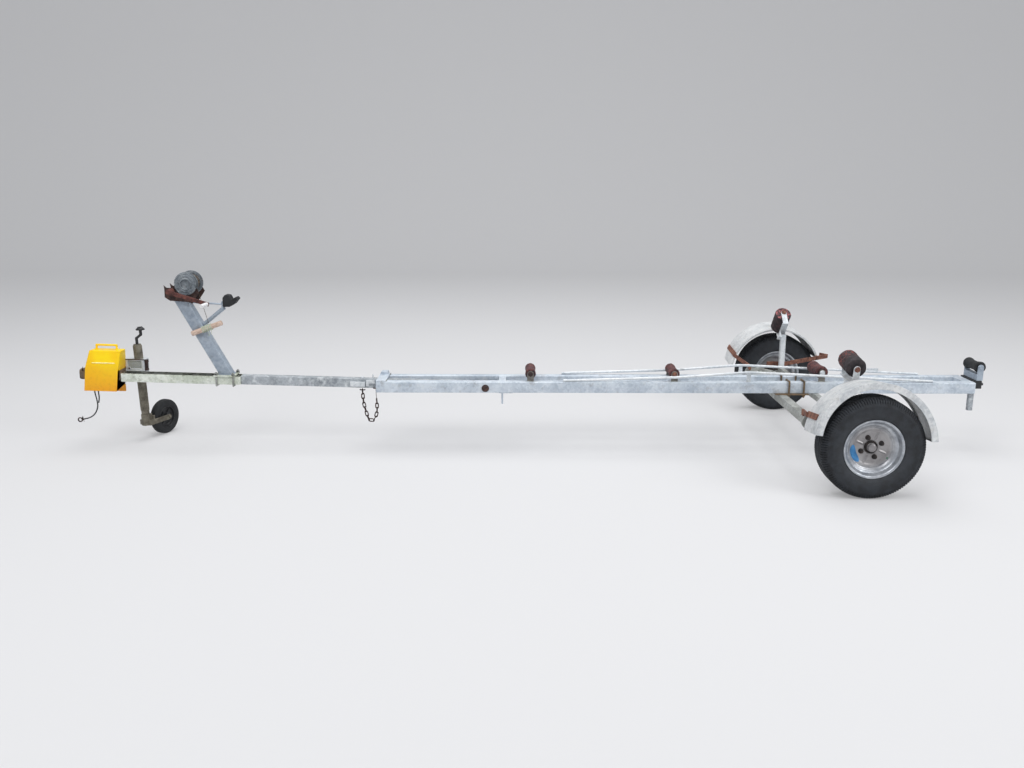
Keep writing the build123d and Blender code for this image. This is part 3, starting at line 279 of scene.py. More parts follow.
def softened(node, width, name):
    """Stands a copy for a node: its triangles joined into flat faces, its sharp edges rounded to the width in
    millimetres, or to a third of the narrower face beside the edge."""
    mesh = frame["nodes"][node].data.copy()
    mesh.name = node + "_worn"
    work = bmesh.new()
    work.from_mesh(mesh)
    bmesh.ops.remove_doubles(work, verts=work.verts, dist=2e-6)
    bmesh.ops.dissolve_limit(work, angle_limit=math.radians(0.5), verts=work.verts, edges=work.edges)
    weight = work.edges.layers.float.new("bevel_weight_edge")
    for edge in work.edges:
        if len(edge.link_faces) == 2 and edge.calc_face_angle() > math.radians(32):
            room = min(face.calc_area() for face in edge.link_faces) / edge.calc_length()
            edge[weight] = min(1.0, 330.0 * room / width)
    work.to_mesh(mesh)
    work.free()
    mesh.materials.clear()
    mesh.materials.append(finish(name))
    mesh.shade_smooth()
    piece = settle(bpy.data.objects.new(node + "_worn", mesh), node)
    bevel = piece.modifiers.new("rounded_edges", "BEVEL")
    bevel.width = width / 1000.0
    bevel.segments = 2
    bevel.limit_method = "WEIGHT"
    bevel.use_clamp_overlap = False
    piece.modifiers.new("flat_faces", "WEIGHTED_NORMAL")


def turned(profile, segments):
    """A profile of (radius, y) points turned round the y axis: (r cos a, y, r sin a) for each angle a."""
    profile = np.asarray(profile, float)
    angle = np.linspace(0, 2 * math.pi, segments, endpoint=False)[:, None]
    radius, y = profile[None, :, 0], profile[None, :, 1]
    return np.stack([radius * np.cos(angle), y + 0 * angle, radius * np.sin(angle)], -1)


def spun(profile, segments=24):
    """A profile of (radius, z) points turned round the z axis, one row for each point."""
    radius, z = np.asarray(profile, float).T[:, :, None]
    angle = np.linspace(0, 2 * math.pi, segments, endpoint=False)[None]
    return np.stack([radius * np.cos(angle), radius * np.sin(angle), z + 0 * angle], -1)


def rounded(corners, radius, steps=4, closed=True):
    """Corners cut off a radius away, or at half a side, and bridged by parabolas that each corner pulls."""
    corners = np.asarray(corners, float)

    def cut(others):
        gap = others - corners
        length = np.maximum(np.linalg.norm(gap, axis=1)[:, None], 1e-9)
        return corners + gap * np.minimum(radius / length, 0.5)

    first, last = cut(np.roll(corners, 1, 0))[:, None], cut(np.roll(corners, -1, 0))[:, None]
    t = np.linspace(0, 1, steps + 1)[None, :, None]
    curve = (1 - t) ** 2 * first + 2 * t * (1 - t) * corners[:, None] + t**2 * last
    if closed:
        return curve.reshape(-1, corners.shape[1])
    return np.concatenate([corners[:1], curve[1:-1].reshape(-1, corners.shape[1]), corners[-1:]])


def reach_along(line):
    """Each point's distance from the first one, along the line."""
    return np.concatenate([[0.0], np.cumsum(np.linalg.norm(np.diff(line, axis=0), axis=1))])


def evened(line, spacing, closed=False):
    """The line's points again at equal steps along it."""
    line = np.asarray(line, float)
    if closed:
        line = np.concatenate([line, line[:1]])
    reach = reach_along(line)
    count = max(3, round(reach[-1] / spacing))
    at = np.linspace(0, reach[-1], count, endpoint=not closed)
    return np.stack([np.interp(at, reach, column) for column in line.T], 1)


def circle(radius, count):
    """Points of a circle."""
    angle = np.linspace(0, 2 * math.pi, count, endpoint=False)
    return np.stack([radius * np.cos(angle), radius * np.sin(angle)], 1)


def carried(profile, path, side, closed=False, size=1.0):
    """A profile's (a, b) points carried along a path: point + a * across + b * up, across at right angles to
    side. The profile is size times as large, a number or one for each point."""
    path = np.asarray(path, float)
    if closed:
        along = np.roll(path, -1, 0) - np.roll(path, 1, 0)
    else:
        along = np.gradient(path, axis=0)
    along /= np.linalg.norm(along, axis=1)[:, None]
    across = np.cross(along, np.broadcast_to(np.asarray(side, float), along.shape))
    across /= np.linalg.norm(across, axis=1)[:, None]
    up = np.cross(across, along)
    profile = np.asarray(profile, float)[None] * (size * np.ones(len(path)))[:, None, None]
    return path[:, None] + profile[:, :, :1] * across[:, None] + profile[:, :, 1:] * up[:, None]


def aimed(grid, centre, direction, turn=0.0):
    """A grid whose z axis is turned to the direction and whose origin goes to the centre."""
    z = np.asarray(direction, float) / np.linalg.norm(direction)
    x = np.cross([1.0, 0.0, 0.0] if abs(z[2]) > 0.9 else [0.0, 0.0, 1.0], z)
    x /= np.linalg.norm(x)
    y = np.cross(z, x)
    c, s = math.cos(turn), math.sin(turn)
    return np.asarray(centre, float) + grid @ np.stack([x * c + y * s, y * c - x * s, z])


def nut(width, height):
    """A hexagon, half its width over cos(angle from a flat's middle), whose top corners a cone cuts off."""
    angle = np.linspace(0, 2 * math.pi, 24, endpoint=False)
    hexagon = width / 2 / np.cos((angle + math.pi / 6) % (math.pi / 3) - math.pi / 6)
    top = np.minimum(hexagon, 0.48 * width)
    rows = [(hexagon, 0.0), (hexagon, height - 0.1 * width), (top, height)]
    return np.stack([np.stack([r * np.cos(angle), r * np.sin(angle), 0 * angle + z], -1) for r, z in rows])


def cord_curve(name, route, radius, material, node, replaces=False):
    """A round cord on a smooth spline that the route's points pull."""
    curve = bpy.data.curves.new(name, "CURVE")
    curve.dimensions = "3D"
    spline = curve.splines.new("NURBS")
    spline.points.add(len(route) - 1)
    spline.points.foreach_set("co", np.column_stack([route, np.ones(len(route))]).ravel())
    spline.order_u = 3
    spline.use_endpoint_u = True
    spline.resolution_u = 12
    curve.bevel_depth = radius / 1000.0
    curve.bevel_resolution = 3
    curve.use_fill_caps = True
    curve.materials.append(finish(material))
    return settle(bpy.data.objects.new(name, curve), node, replaces)


# Materials


def linear(code):
    """An sRGB hex colour as linear red, green, blue and alpha."""
    values = [int(code[i : i + 2], 16) / 255 for i in (1, 3, 5)]
    return tuple(v / 12.92 if v <= 0.04045 else ((v + 0.055) / 1.055) ** 2.4 for v in values) + (1.0,)


def per_mm(size):
    """The texture scale at which one feature is so many millimetres large."""
    return 1000.0 / size


def add(tree, kind, inputs=None, ramp=None, **settings):
    """Adds a node, sets its settings and its ramp, and fills its inputs with values or links."""
    node = tree.nodes.new("ShaderNode" + kind)
    for key, value in settings.items():
        setattr(node, key, value)
    if ramp:
        elements = node.color_ramp.elements
        while len(elements) < len(ramp):
            elements.new(0.5)
        for element, (position, colour) in zip(elements, ramp):
            element.position = position
            element.color = linear(colour) if isinstance(colour, str) else (colour, colour, colour, 1.0)
    for key, value in (inputs or {}).items():
        if isinstance(value, bpy.types.NodeSocket):
            tree.links.new(value, node.inputs[key])
        else:
            node.inputs[key].default_value = value
    return node


class Look:
    """A new material. Its methods add a node each and give back the output that a next one takes."""

    def __init__(self, name):
        self.material = bpy.data.materials.new(name)
        self.material.use_nodes = True
        self.tree = self.material.node_tree
        self.tree.nodes.clear()
        self.coords = self.out("TexCoord", output="Object")

    def out(self, kind, inputs=None, output=0, **settings):
        """An output of a node of that kind."""
        return add(self.tree, kind, inputs, **settings).outputs[output]

    def noise(self, size, detail, roughness=0.5):
        """Noise with features of a size in millimetres."""
        inputs = {"Vector": self.coords, "Scale": per_mm(size), "Detail": detail, "Roughness": roughness}
        return self.out("TexNoise", inputs, output="Fac")

    def ramp(self, value, *stops):
        """Colours or greys for a value, between stops of a position and a colour."""
        return self.out("ValToRGB", {"Fac": value}, ramp=stops)

    def mask(self, value, low, high, most):
        """Nothing where the value is under low, and most of it from high on."""
        return self.ramp(value, (low, 0.0), (high, most))

    def over(self, under, colour, share):
        """A colour laid over another one, as far as the share goes."""
        return self.out("MixRGB", {"Fac": share, "Color1": under, "Color2": linear(colour)})

    def span(self, value, start, end, low=0.0, high=1.0):
        """Start to end, where the value goes from low to high."""
        ends = {"From Min": low, "From Max": high, "To Min": start, "To Max": end}
        return self.out("MapRange", {"Value": value, **ends})

    def maths(self, operation, *values):
        """The values' sum, product or sine."""
        return self.out("Math", dict(enumerate(values)), operation=operation)

    def wheel_radius(self):
        """The distance from the road wheels' axis in metres: the length of (x - x0, 0, z - z0)."""
        hub = (AXIS_X / 1000.0, 0.0, TYRE_RADIUS / 1000.0)
        off = self.out("VectorMath", {0: self.coords, 1: hub}, operation="SUBTRACT")
        flat = self.out("VectorMath", {0: off, 1: (1.0, 0.0, 1.0)}, operation="MULTIPLY")
        return self.out("VectorMath", {0: flat}, output="Value", operation="LENGTH")

    def close(self, colour, roughness, height, bump_mm, metallic=0.0):
        """Joins colour, roughness and height to the shader; bump_mm is the height of the relief."""
        bump = self.out("Bump", {"Height": height, "Strength": 1.0, "Distance": bump_mm / 1000.0})
        inputs = {"Base Color": colour, "Roughness": roughness, "Metallic": metallic, "Normal": bump}
        add(self.tree, "OutputMaterial", {"Surface": self.out("BsdfPrincipled", inputs)})


def dipped_zinc(look, light, dark, stain="#6F675E", rust=0.0, chalk=0.35, algae=0.0):
    """Hot-dip galvanised steel gone dull: a faint spangle, chalky white patches, grime and a little rust.
    Algae green what faces up or sideways, and darken a ragged line along the drawbar's top edge with painted
    shade."""
    spangle = look.out("TexVoronoi", {"Vector": look.coords, "Scale": per_mm(11)}, output="Color")
    flakes = look.out("SeparateColor", {"Color": spangle})
    cloud = look.noise(120, 6.0, 0.6)
    fine = look.noise(7, 5.0, 0.65)
    mixed = look.out("Mix", {"Factor": 0.16, "A": cloud, "B": flakes}, data_type="FLOAT")
    colour = look.ramp(mixed, (0.34, dark), (0.62, light))
    colour = look.over(colour, "#DDE1E2", look.mask(look.noise(34, 7.0, 0.7), 0.52, 0.66, chalk))
    colour = look.over(colour, stain, look.mask(look.noise(55, 8.0, 0.72), 0.56, 0.74, 0.55))
    if algae:
        growth = look.mask(look.noise(24, 8.0, 0.7), 0.5, 0.68, algae)
        normal = look.out("NewGeometry", output="Normal")
        upward = look.span(look.out("SeparateXYZ", {"Vector": normal}, output="Z"), 0.0, 1.0, -1.0, 0.4)
        colour = look.over(colour, "#6E7558", look.maths("MULTIPLY", growth, upward))
        # Painted shade: a ragged dark line along the drawbar's top edge, 13 to 21 mm above its axis
        up = (math.sin(DRAWBAR_RISE), 0.0, math.cos(DRAWBAR_RISE))
        level = look.out("VectorMath", {0: look.coords, 1: up}, output="Value", operation="DOT_PRODUCT")
        axis = on_drawbar([0.0, 0.0, 0.0]) @ up
        near_top = look.span(level, 0.0, 1.0, axis + 0.013, axis + 0.021)
        torn_shade = look.mask(look.noise(45, 9.0, 0.75), 0.5, 0.58, 0.8)
        colour = look.over(colour, "#75755F", look.maths("MULTIPLY", torn_shade, near_top))
    if rust:
        colour = look.over(colour, "#7A4A2E", look.mask(look.noise(26, 9.0, 0.75), 0.6, 0.7, rust))
    look.close(colour, look.span(fine, 0.42, 0.68), fine, 0.25, metallic=0.35)


def rusted_steel(look, deep, mid, bright):
    """Bare steel rusted through its old paint: dark scale with red and orange bloom, rough and dull."""
    tone = look.ramp(look.noise(22, 9.0, 0.7), (0.36, deep), (0.52, mid), (0.68, bright))
    scale = look.noise(3.5, 6.0, 0.7)
    look.close(tone, look.span(scale, 0.7, 0.95), scale, 0.6, metallic=0.05)


def grimy_tube(look, dirt, middle, light, rust):
    """Zinc-plated tube gone brown-grey with road dirt, oil and rust freckles."""
    tone = look.ramp(look.noise(45, 8.0, 0.7), (0.32, dirt), (0.5, middle), (0.66, light))
    freckle = look.noise(9, 8.0, 0.75)
    colour = look.over(tone, rust, look.mask(freckle, 0.58, 0.68, 0.7))
    look.close(colour, look.span(freckle, 0.5, 0.8), freckle, 0.3, metallic=0.25)


def gloss_hood(look, main, shade, painted_low_shade, grime):
    """Moulded yellow hood: glossy, sun-bleached in clouds, grimy towards its lower edge and deeper orange
    there, partly its own tone and partly painted shade.
    """
    tone = look.ramp(look.noise(90, 4.0), (0.35, shade), (0.6, main))
    # Painted shade, partly the hood's own tone: a deeper orange towards the hood's lower edge
    low = look.span(look.out("SeparateXYZ", {"Vector": look.coords}, output="Z"), 1.0, 0.0, 0.30, 0.50)
    tone = look.over(tone, painted_low_shade, low)
    speck = look.noise(16, 8.0, 0.7)
    colour = look.over(tone, grime, look.maths("MULTIPLY", look.mask(speck, 0.5, 0.8, 0.5), low))
    look.close(colour, look.span(speck, 0.22, 0.4), look.noise(5, 3.0), 0.08)


def rubber(look, light, dark, mark=None, amount=0.0, size=40.0, bump_mm=0.2, fade=None, rings=None):
    """Weathered rubber: dull, dusty on the outside, with blotches where the outer skin has worn. Where fade
    gives two y values in metres, the blotches grow between them. Rings are (radius, half width, height) in
    millimetres, moulded in a tyre's wall."""
    colour = look.ramp(look.noise(size, 8.0, 0.65), (0.36, dark), (0.62, light))
    grain = look.noise(4, 6.0, 0.7)
    if mark:
        worn = look.mask(look.noise(size * 0.45, 9.0, 0.75), 0.5, 0.58, amount)
        if fade:
            across = look.out("SeparateXYZ", {"Vector": look.coords}, output="Y")
            worn = look.maths("MULTIPLY", worn, look.span(across, 0.0, 1.0, *fade))
        colour = look.over(colour, mark, worn)
    height = grain
    if rings:
        radius = look.wheel_radius()
        for middle, half, rise in rings:
            sweep = look.span(radius, 0.0, math.pi, (middle - half) / 1000.0, (middle + half) / 1000.0)
            raised = look.maths("MULTIPLY", look.maths("SINE", sweep), rise / bump_mm)
            height = look.maths("ADD", raised, height)
        colour = look.over(colour, "#55585C", look.span(radius, 0.2, 0.0, 0.145, 0.2))
    look.close(colour, look.span(grain, 0.62, 0.85), height, bump_mm)


def silver_lacquer(look, dull, bright, dust, scuff):
    """Sprayed silver wheel lacquer, scuffed, its middle dusted brown out to a radius of 118 millimetres."""
    tone = look.ramp(look.noise(60, 7.0, 0.65), (0.35, dull), (0.62, bright))
    tone = look.over(tone, dust, look.span(look.wheel_radius(), 0.6, 0.0, 0.085, 0.118))
    speck = look.noise(8, 8.0, 0.75)
    colour = look.over(tone, scuff, look.mask(speck, 0.58, 0.72, 0.6))
    look.close(colour, look.span(speck, 0.24, 0.5), speck, 0.1, metallic=0.6)


def bare_wood(look, light, dark):
    """A turned stick of bare softwood: pale, with grain along it and grey weathering."""
    look.coords = look.out("Mapping", {"Vector": look.coords, "Rotation": (0.0, math.radians(23.0), 0.0)})
    look.coords = look.out("Mapping", {"Vector": look.coords, "Scale": (0.08, 1.0, 1.0)})
    grain = look.noise(3, 6.0, 0.6)
    look.close(look.ramp(grain, (0.34, dark), (0.62, light)), look.span(grain, 0.6, 0.8), grain, 0.25)


def plain_plastic(look, light, dark, rough=(0.4, 0.6)):
    """Moulded plastic with faint mottling and scuffs."""
    cloud = look.noise(20, 6.0, 0.65)
    tone = look.ramp(cloud, (0.36, dark), (0.62, light))
    look.close(tone, look.span(cloud, *rough), look.noise(1.5, 4.0), 0.05)


def laid_rope(look, light, dark):
    """Thin laid cord, washed out and hairy."""
    inputs = {"Vector": look.coords, "Scale": per_mm(9), "Distortion": 2.0, "Detail": 2.0}
    lay = look.out("TexWave", inputs, output="Fac")
    look.close(look.ramp(lay, (0.2, dark), (0.7, light)), look.span(lay, 0.8, 0.95), lay, 0.4)


# Each material's kind, its colours in the order that the kind takes them, and its other settings
MATERIALS = {
    "galvanised_rail": (dipped_zinc, "#D3DBE3 #AFBAC6", {"rust": 0.25}),
    "galvanised_drawbar": (dipped_zinc, "#B2B8BD #848A90 #5E5A52", {"rust": 0.3, "chalk": 0.75}),
    "galvanised_channel": (dipped_zinc, "#E8ECE2 #C6CDBE #98A088", {"algae": 0.6}),
    "galvanised_post": (dipped_zinc, "#A6B1BD #8792A0", {"chalk": 0.2}),
    "galvanised_sheet": (dipped_zinc, "#D8D9D9 #B2B6BA #938B80", {"chalk": 0.6}),
    # A lighter copy of the mudguard sheet for the far mudguard: painted light
    "galvanised_sheet_painted_light": (dipped_zinc, "#E4E5E5 #C4C7C9 #938B80", {"chalk": 0.6}),
    "galvanised_axle": (dipped_zinc, "#A9ABA7 #7E807C #6B5F52", {"rust": 0.5}),
    "grimy_bracket_zinc": (dipped_zinc, "#86827B #57534E #4A3C32", {"rust": 0.8, "chalk": 0.1}),
    "zinc_plated_steel": (dipped_zinc, "#E2E5E7 #BFC5CA", {"chalk": 0.4}),
    "dull_gear_zinc": (dipped_zinc, "#858C92 #50575E #5A4638", {"rust": 0.7, "chalk": 0.3}),
    "rusted_steel": (rusted_steel, "#38221F #613934 #7C4C3F", {}),
    "rusted_winch_frame": (rusted_steel, "#221C1C #43302C #5F443B", {}),
    "rusted_dark_steel": (rusted_steel, "#241D1D #40302D #5E4238", {}),
    "rusted_flat_bar": (rusted_steel, "#4A322B #7A5042 #946A52", {}),
    "rusted_casting": (rusted_steel, "#4A3F33 #6F5F4C #85694C", {}),
    "greasy_dark_steel": (rusted_steel, "#18181A #2E2A29 #4A3A33", {}),
    "grimy_steel_tube": (grimy_tube, "#453F36 #6E695D #8B8678 #5A3C2A", {}),
    "silver_lacquer": (silver_lacquer, "#8F949C #C6CACF #8A817C #6B655E", {}),
    "moulded_yellow": (gloss_hood, "#FFDC0A #FCCB08 #F0A008 #A87018", {}),
    # The hood's ridges: their pale yellow-white is a painted highlight of the glare along them
    "yellow_ridge_painted_glare": (plain_plastic, "#FFF3B8 #FCE27A", {"rough": (0.2, 0.35)}),
    "faded_blue_film": (plain_plastic, "#3F86BE #2F6D9F", {}),
    "faded_green_film": (plain_plastic, "#4F7A62 #3D6350", {}),
    "black_moulded_plastic": (plain_plastic, "#2A2B2E #17181A", {}),
    "white_moulded_plastic": (plain_plastic, "#E9E8EA #D2D0D0", {}),
    "road_tyre_rubber": (
        rubber, "#262A30 #15171B", {"rings": [(149.0, 2.5, 0.9), (158.0, 1.5, 0.6), (208.0, 2.0, 0.8)]},
    ),
    "black_moulded_rubber": (rubber, "#25272A #131416", {}),
    "worn_red_rubber": (rubber, "#70403D #42282B #1C1A1F", {"amount": 0.95, "size": 30.0, "bump_mm": 0.6}),
    "worn_black_rubber": (
        rubber,
        "#372F32 #1A191C #8C423A",
        {"amount": 0.95, "size": 26.0, "bump_mm": 0.8, "fade": (-0.63, -0.56)},
    ),
    "black_roller_rubber": (rubber, "#35292C #1A191C #4F2F33", {"amount": 0.6, "size": 30.0, "bump_mm": 0.6}),
    "marked_end_rubber": (rubber, "#33292C #1B1A1D #B4686A", {"amount": 0.9, "size": 30.0}),
    "weathered_winch_line": (laid_rope, "#6A6055 #2C2623", {}),
    "dirty_grey_mesh": (laid_rope, "#BEC2BE #74797A", {}),
    "pale_laid_cord": (laid_rope, "#CBD2C2 #8E977F", {}),
    "bare_softwood": (bare_wood, "#DCC6B8 #A4866F", {}),
}
_made = {}

# Frame nodes whose shape stays, by material, with the width of their rounded edges in millimetres
NODE_FINISH = {
    "galvanised_rail": {"rail_left": 4.0, "rail_right": 4.0, "front_plate": 1.5, "cross_members": 3.0},
    "galvanised_drawbar": {"drawbar_tube": 4.0, "rear_leg": 2.5},
    "galvanised_channel": {"nose_channel": 2.5, "winch_foot_plate": 1.5},
    "galvanised_post": {"winch_post": 5.0, "bow_stop_arms": 1.5, "rear_roller_bracket": 1.5},
    "galvanised_sheet": {"mudguard_left": 1.8},
    # The far mudguard takes the lighter copy of the sheet: painted light
    "galvanised_sheet_painted_light": {"mudguard_right": 1.8},
    "galvanised_axle": {"axle_beam": 4.0, "axle_arms": 3.0, "bilge_tube": 3.0, "winch_foot_bolts": 0.8},
    "grimy_bracket_zinc": {"keel_roller_brackets": 1.0, "keel_roller_bracket_front": 1.0},
    "zinc_plated_steel": {
        "tilt_latch": 1.5, "bilge_posts": 3.0, "runners": 1.0, "bilge_forks": 1.5, "jockey_clamp": 4.0,
    },
    "rusted_steel": {"winch_crank": 2.5},
    "rusted_winch_frame": {"winch_frame": 1.5},
    "rusted_dark_steel": {"pivot_bolt": 1.5, "cable_hook": 1.5},
    "rusted_flat_bar": {"mudguard_stays": 1.2},
    "rusted_casting": {"axle_clamps": 1.0, "coupling_head": 4.0},
    "grimy_steel_tube": {"jockey_outer_tube": 1.5, "jockey_inner_tube": 1.5, "jockey_fork": 2.5},
    "moulded_yellow": {"lock_box": 5.0},
    "black_moulded_plastic": {"jockey_crank": 2.0, "rear_roller_bar": 2.5},
    "black_moulded_rubber": {"bow_stop_rubber": 4.0},
}


def finish(name):
    """The material of that name, made once."""
    if name not in _made:
        kind, colours, settings = MATERIALS[name]
        _made[name] = Look(name)
        kind(_made[name], *colours.split(), **settings)
    return _made[name].material


class TrailerSizes(bpy.types.PropertyGroup):
    """Sizes that a user would change."""

    lugs: IntProperty(
        name="Tread blocks", description="Blocks round a road tyre's shoulder", default=122, min=40
    )
    groove: FloatProperty(
        name="Groove depth", description="Depth of the tread's grooves in millimetres", default=5.0, min=0.0
    )
    rope_turns: IntProperty(
        name="Drum turns", description="Turns of line across the winch drum", default=22, min=4
    )


class TrailerLight(bpy.types.PropertyGroup):
    """Stage settings that a user would change."""

    floor: FloatVectorProperty(
        name="Floor", description="Colour of floor and backdrop", subtype="COLOR", default=(0.62, 0.62, 0.63)
    )
    key: FloatProperty(
        name="Key light", description="Strength of the large soft light", default=90.0, min=0.0, unit="POWER"
    )


class TRAILER_OT_metalwork(bpy.types.Operator):
    """Frame nodes with worn, rounded edges and their finish"""

    bl_idname = "trailer.metalwork"
    bl_label = "Metalwork"

    def execute(self, context):
        for name, nodes in NODE_FINISH.items():
            for node, width in nodes.items():
                softened(node, width, name)
        return {"FINISHED"}


def moulded(section, radius, steps, spacing, segments):
    """A closed section of (radius, y) points, its corners rounded, turned round the y axis."""
    return turned(evened(rounded(section, radius, steps), spacing, closed=True), segments)


def tyre_grid(lugs, groove):
    """A road tyre's half-section mirrored, rounded and turned in steps of a sixth of a tread block. A point
    sinks along the section's normal in two rings a side, and where the block's phase passes a limit."""
    half = [
        (129, 50), (134, 54.5), (142, 57), (146, 63), (158, 69), (174, 72.5), (192, 73.5), (214, 71.5),
        (232, 65), (243, 51), (243, 26),
    ]
    corners = np.array(half + [(r, -y) for r, y in half[::-1]], float)
    line = rounded(corners, 12.0, 5, closed=False)
    reach = reach_along(line)
    wall = reach[np.argmax(line[:, 0] > 220.0)]
    side = np.arange(0.0, wall, 4.6)
    at = np.concatenate([side, np.linspace(wall, reach[-1] - wall, 56), reach[-1] - side[::-1]])
    radius, y = np.interp(at, reach, line[:, 0]), np.interp(at, reach, line[:, 1])
    slope = np.stack([np.gradient(radius), np.gradient(y)])
    slope /= np.linalg.norm(slope, axis=0)
    # Rings run 14 and 38 mm from the middle, sipes lie within 34 mm, notches cut the shoulder from 43 mm
    across = np.abs(y)
    crown = radius > 236
    angle = np.linspace(0, 2 * math.pi, lugs * 6, endpoint=False)[:, None]
    turn = angle * lugs / (2 * math.pi)
    rings = np.clip((3.2 - np.minimum(np.abs(across - 14), np.abs(across - 38))) / 1.4, 0, 1) * crown
    shoulder = np.clip((radius - 216) / 7, 0, 1) * np.clip((across - 43) / 2, 0, 1)
    notch = shoulder * ((turn + across / 90) % 1 > 0.62) * 0.9
    sipe = (across < 34) * crown * ((turn + y / 16) % 1 > 0.8) * 0.6
    sunk = groove * np.maximum(np.maximum(rings, notch), sipe)
    r = radius + slope[1] * sunk
    return np.stack([r * np.cos(angle), y - slope[0] * sunk, r * np.sin(angle)], -1)


def rim_grid():
    """A pressed wheel's section turned round its axis. Its disc is raised into four ribs, by a bell curve of
    the distance from the rib's line, and into a low seat round each stud."""
    section = [
        (134, 55), (138, 57), (141.5, 57.5), (141.5, 61.5), (138, 62.5), (132.5, 61), (129, 57), (126, 49),
        (122.5, 39), (118.5, 34.5), (110, 31), (105.5, 28), (104, 24.5), (101, 22), (94, 24.5), (86, 22.5),
        (78, 18), (70, 17), (33, 17), (30, 16), (30, 12), (33, 11), (72, 11), (84, 15), (92, 18), (103, 17),
        (104, 12), (104, -24), (108, -30), (119, -33.5), (124, -39), (129, -52), (134, -60), (141.5, -61.5),
        (141.5, -57.5), (134, -54), (129.5, -49), (126, -36), (121.5, -29.5), (110, -27), (108, -24),
        (108, 24), (112, 28), (121.5, 31.5), (126.5, 38), (130, 50),
    ]
    x, y, z = np.moveaxis(moulded(section, 3.0, 3, 3.6, 160), -1, 0)
    # Ribs run from 38 to 82 mm from the axis, 4.5 mm high; seats reach 17 mm from a stud, 1.6 mm high
    disc = (y > 8) * (y < 26)
    for index in range(4):
        rib = math.radians(STUD_START + 45 + 90 * index)
        along = x * math.cos(rib) + z * math.sin(rib)
        off = z * math.cos(rib) - x * math.sin(rib)
        ends = np.clip((along - 38) / 6, 0, 1) * np.clip((82 - along) / 6, 0, 1)
        y = y + disc * 4.5 * ends * np.exp(-((off / 4.4) ** 2))
        stud = math.radians(STUD_START + 90 * index)
        gap = np.hypot(x - STUD_REACH * math.cos(stud), z - STUD_REACH * math.sin(stud))
        y = y + disc * 1.6 * np.clip((17 - gap) / 4, 0, 1)
    return np.stack([x, y, z], -1)


def film_grid(first, last, low, high):
    """A patch of film on the near rim's disc between two angles and two radii, narrowed towards both ends by
    the fourth power of the place along it."""
    disc = np.array([(70, 17), (78, 18), (86, 22.3), (94, 24.3), (101, 22.3)], float)
    along = np.linspace(-1, 1, 40)[:, None]
    across = np.linspace(-1, 1, 9)[None]
    angle = np.radians((first + last) / 2 + along * (last - first) / 2)
    reach = (low + high) / 2 + across * (high - low) / 2 * (1 - 0.75 * along**4)
    film = [reach * np.cos(angle), -np.interp(reach, *disc.T) - 0.6, reach * np.sin(angle)]
    return np.stack(film, -1) + np.array([0, -WHEEL_Y, TYRE_RADIUS])


class TRAILER_OT_road_wheels(bpy.types.Operator):
    """Road tyres with their tread, pressed rims, hubs with nuts and cap, and a blank patch of film"""

    bl_idname = "trailer.road_wheels"
    bl_label = "Road wheels"

    def execute(self, context):
        sizes = context.scene.trailer_sizes
        tyre = tyre_grid(sizes.lugs, sizes.groove)
        lining = [(129, 50), (127, 0), (129, -50)]
        rim = rim_grid()
        back = [
            (0, -58), (20.5, -60), (33, -60), (35, -58), (36, -5), (60, -4.5), (62, -2.5), (62, 11), (29, 11),
            (29, 23.5), (27.5, 25), (23.5, 25), (22.5, 23.5), (22.5, 18), (0, 18),
        ]
        cap = [
            (0, 20), (21.3, 20), (21.3, 26), (20.2, 27), (20.2, 34.5), (18.6, 38.4), (14.5, 40.8),
            (7.5, 41.8), (0, 42),
        ]
        for name, side in SIDES.items():
            middle = np.array([0.0, side * WHEEL_Y, TYRE_RADIUS])

            def on_wheel(points):
                return place(np.asarray(points, float) * [1, side, 1] + middle)

            shape = Shape(on_wheel).add(tyre, close_rows=True).lathed(lining, sizes.lugs)
            shape.build("road_tyre_" + name, "road_tyre_rubber", "tyre_" + name)
            Shape(on_wheel).hoop(rim).build("pressed_rim_" + name, "silver_lacquer", "rim_" + name)
            shape = Shape(on_wheel).lathed(back, 48, 1).lathed(cap, 48)
            for index in range(4):
                angle = math.radians(STUD_START + 90 * index)
                foot = (STUD_REACH * math.cos(angle), 18.3, STUD_REACH * math.sin(angle))
                shape.stud([(12.5, 0), (12.2, 1.6), (10, 3)], foot, (0, 1, 0), 1)
                shape.fasten(foot, (0, 1, 0), (19, 13), stem=(5.6, 5.5), slot=1, turn=angle)
            shape.build("hub_and_nuts_" + name, "silver_lacquer greasy_dark_steel", "hub_" + name)
        shape = Shape().add(film_grid(172, 232, 71, 100)).add(film_grid(-37, -31, 88, 97), 1)
        films = "faded_blue_film faded_green_film"
        shape.build("rim_film", films, "rim_left", replaces=False, slot="black_plastic")
        return {"FINISHED"}


def spoked_rim():
    """The jockey wheel's rim, its disc thinned between two radii, where the cosine of five times the angle
    leaves windows between the spokes."""
    section = [
        (57, -21), (62, -21), (62, 21), (57, 21), (54, 8), (50, 6), (24, 6), (21, 9), (20, 29.5), (8.2, 30),
        (8.2, -30), (20, -29.5), (21, -9), (24, -6), (50, -6), (54, -8),
    ]
    rim = moulded(section, 2.0, 2, 2.2, 120)
    radius = np.hypot(rim[..., 0], rim[..., 2])
    window = np.clip((radius - 25) / 2, 0, 1) * np.clip((51 - radius) / 2, 0, 1)
    window = window * (np.cos(5 * np.arctan2(rim[..., 2], rim[..., 0])) > -0.25)
    rim[..., 1] *= 1 - 0.8 * window
    return rim


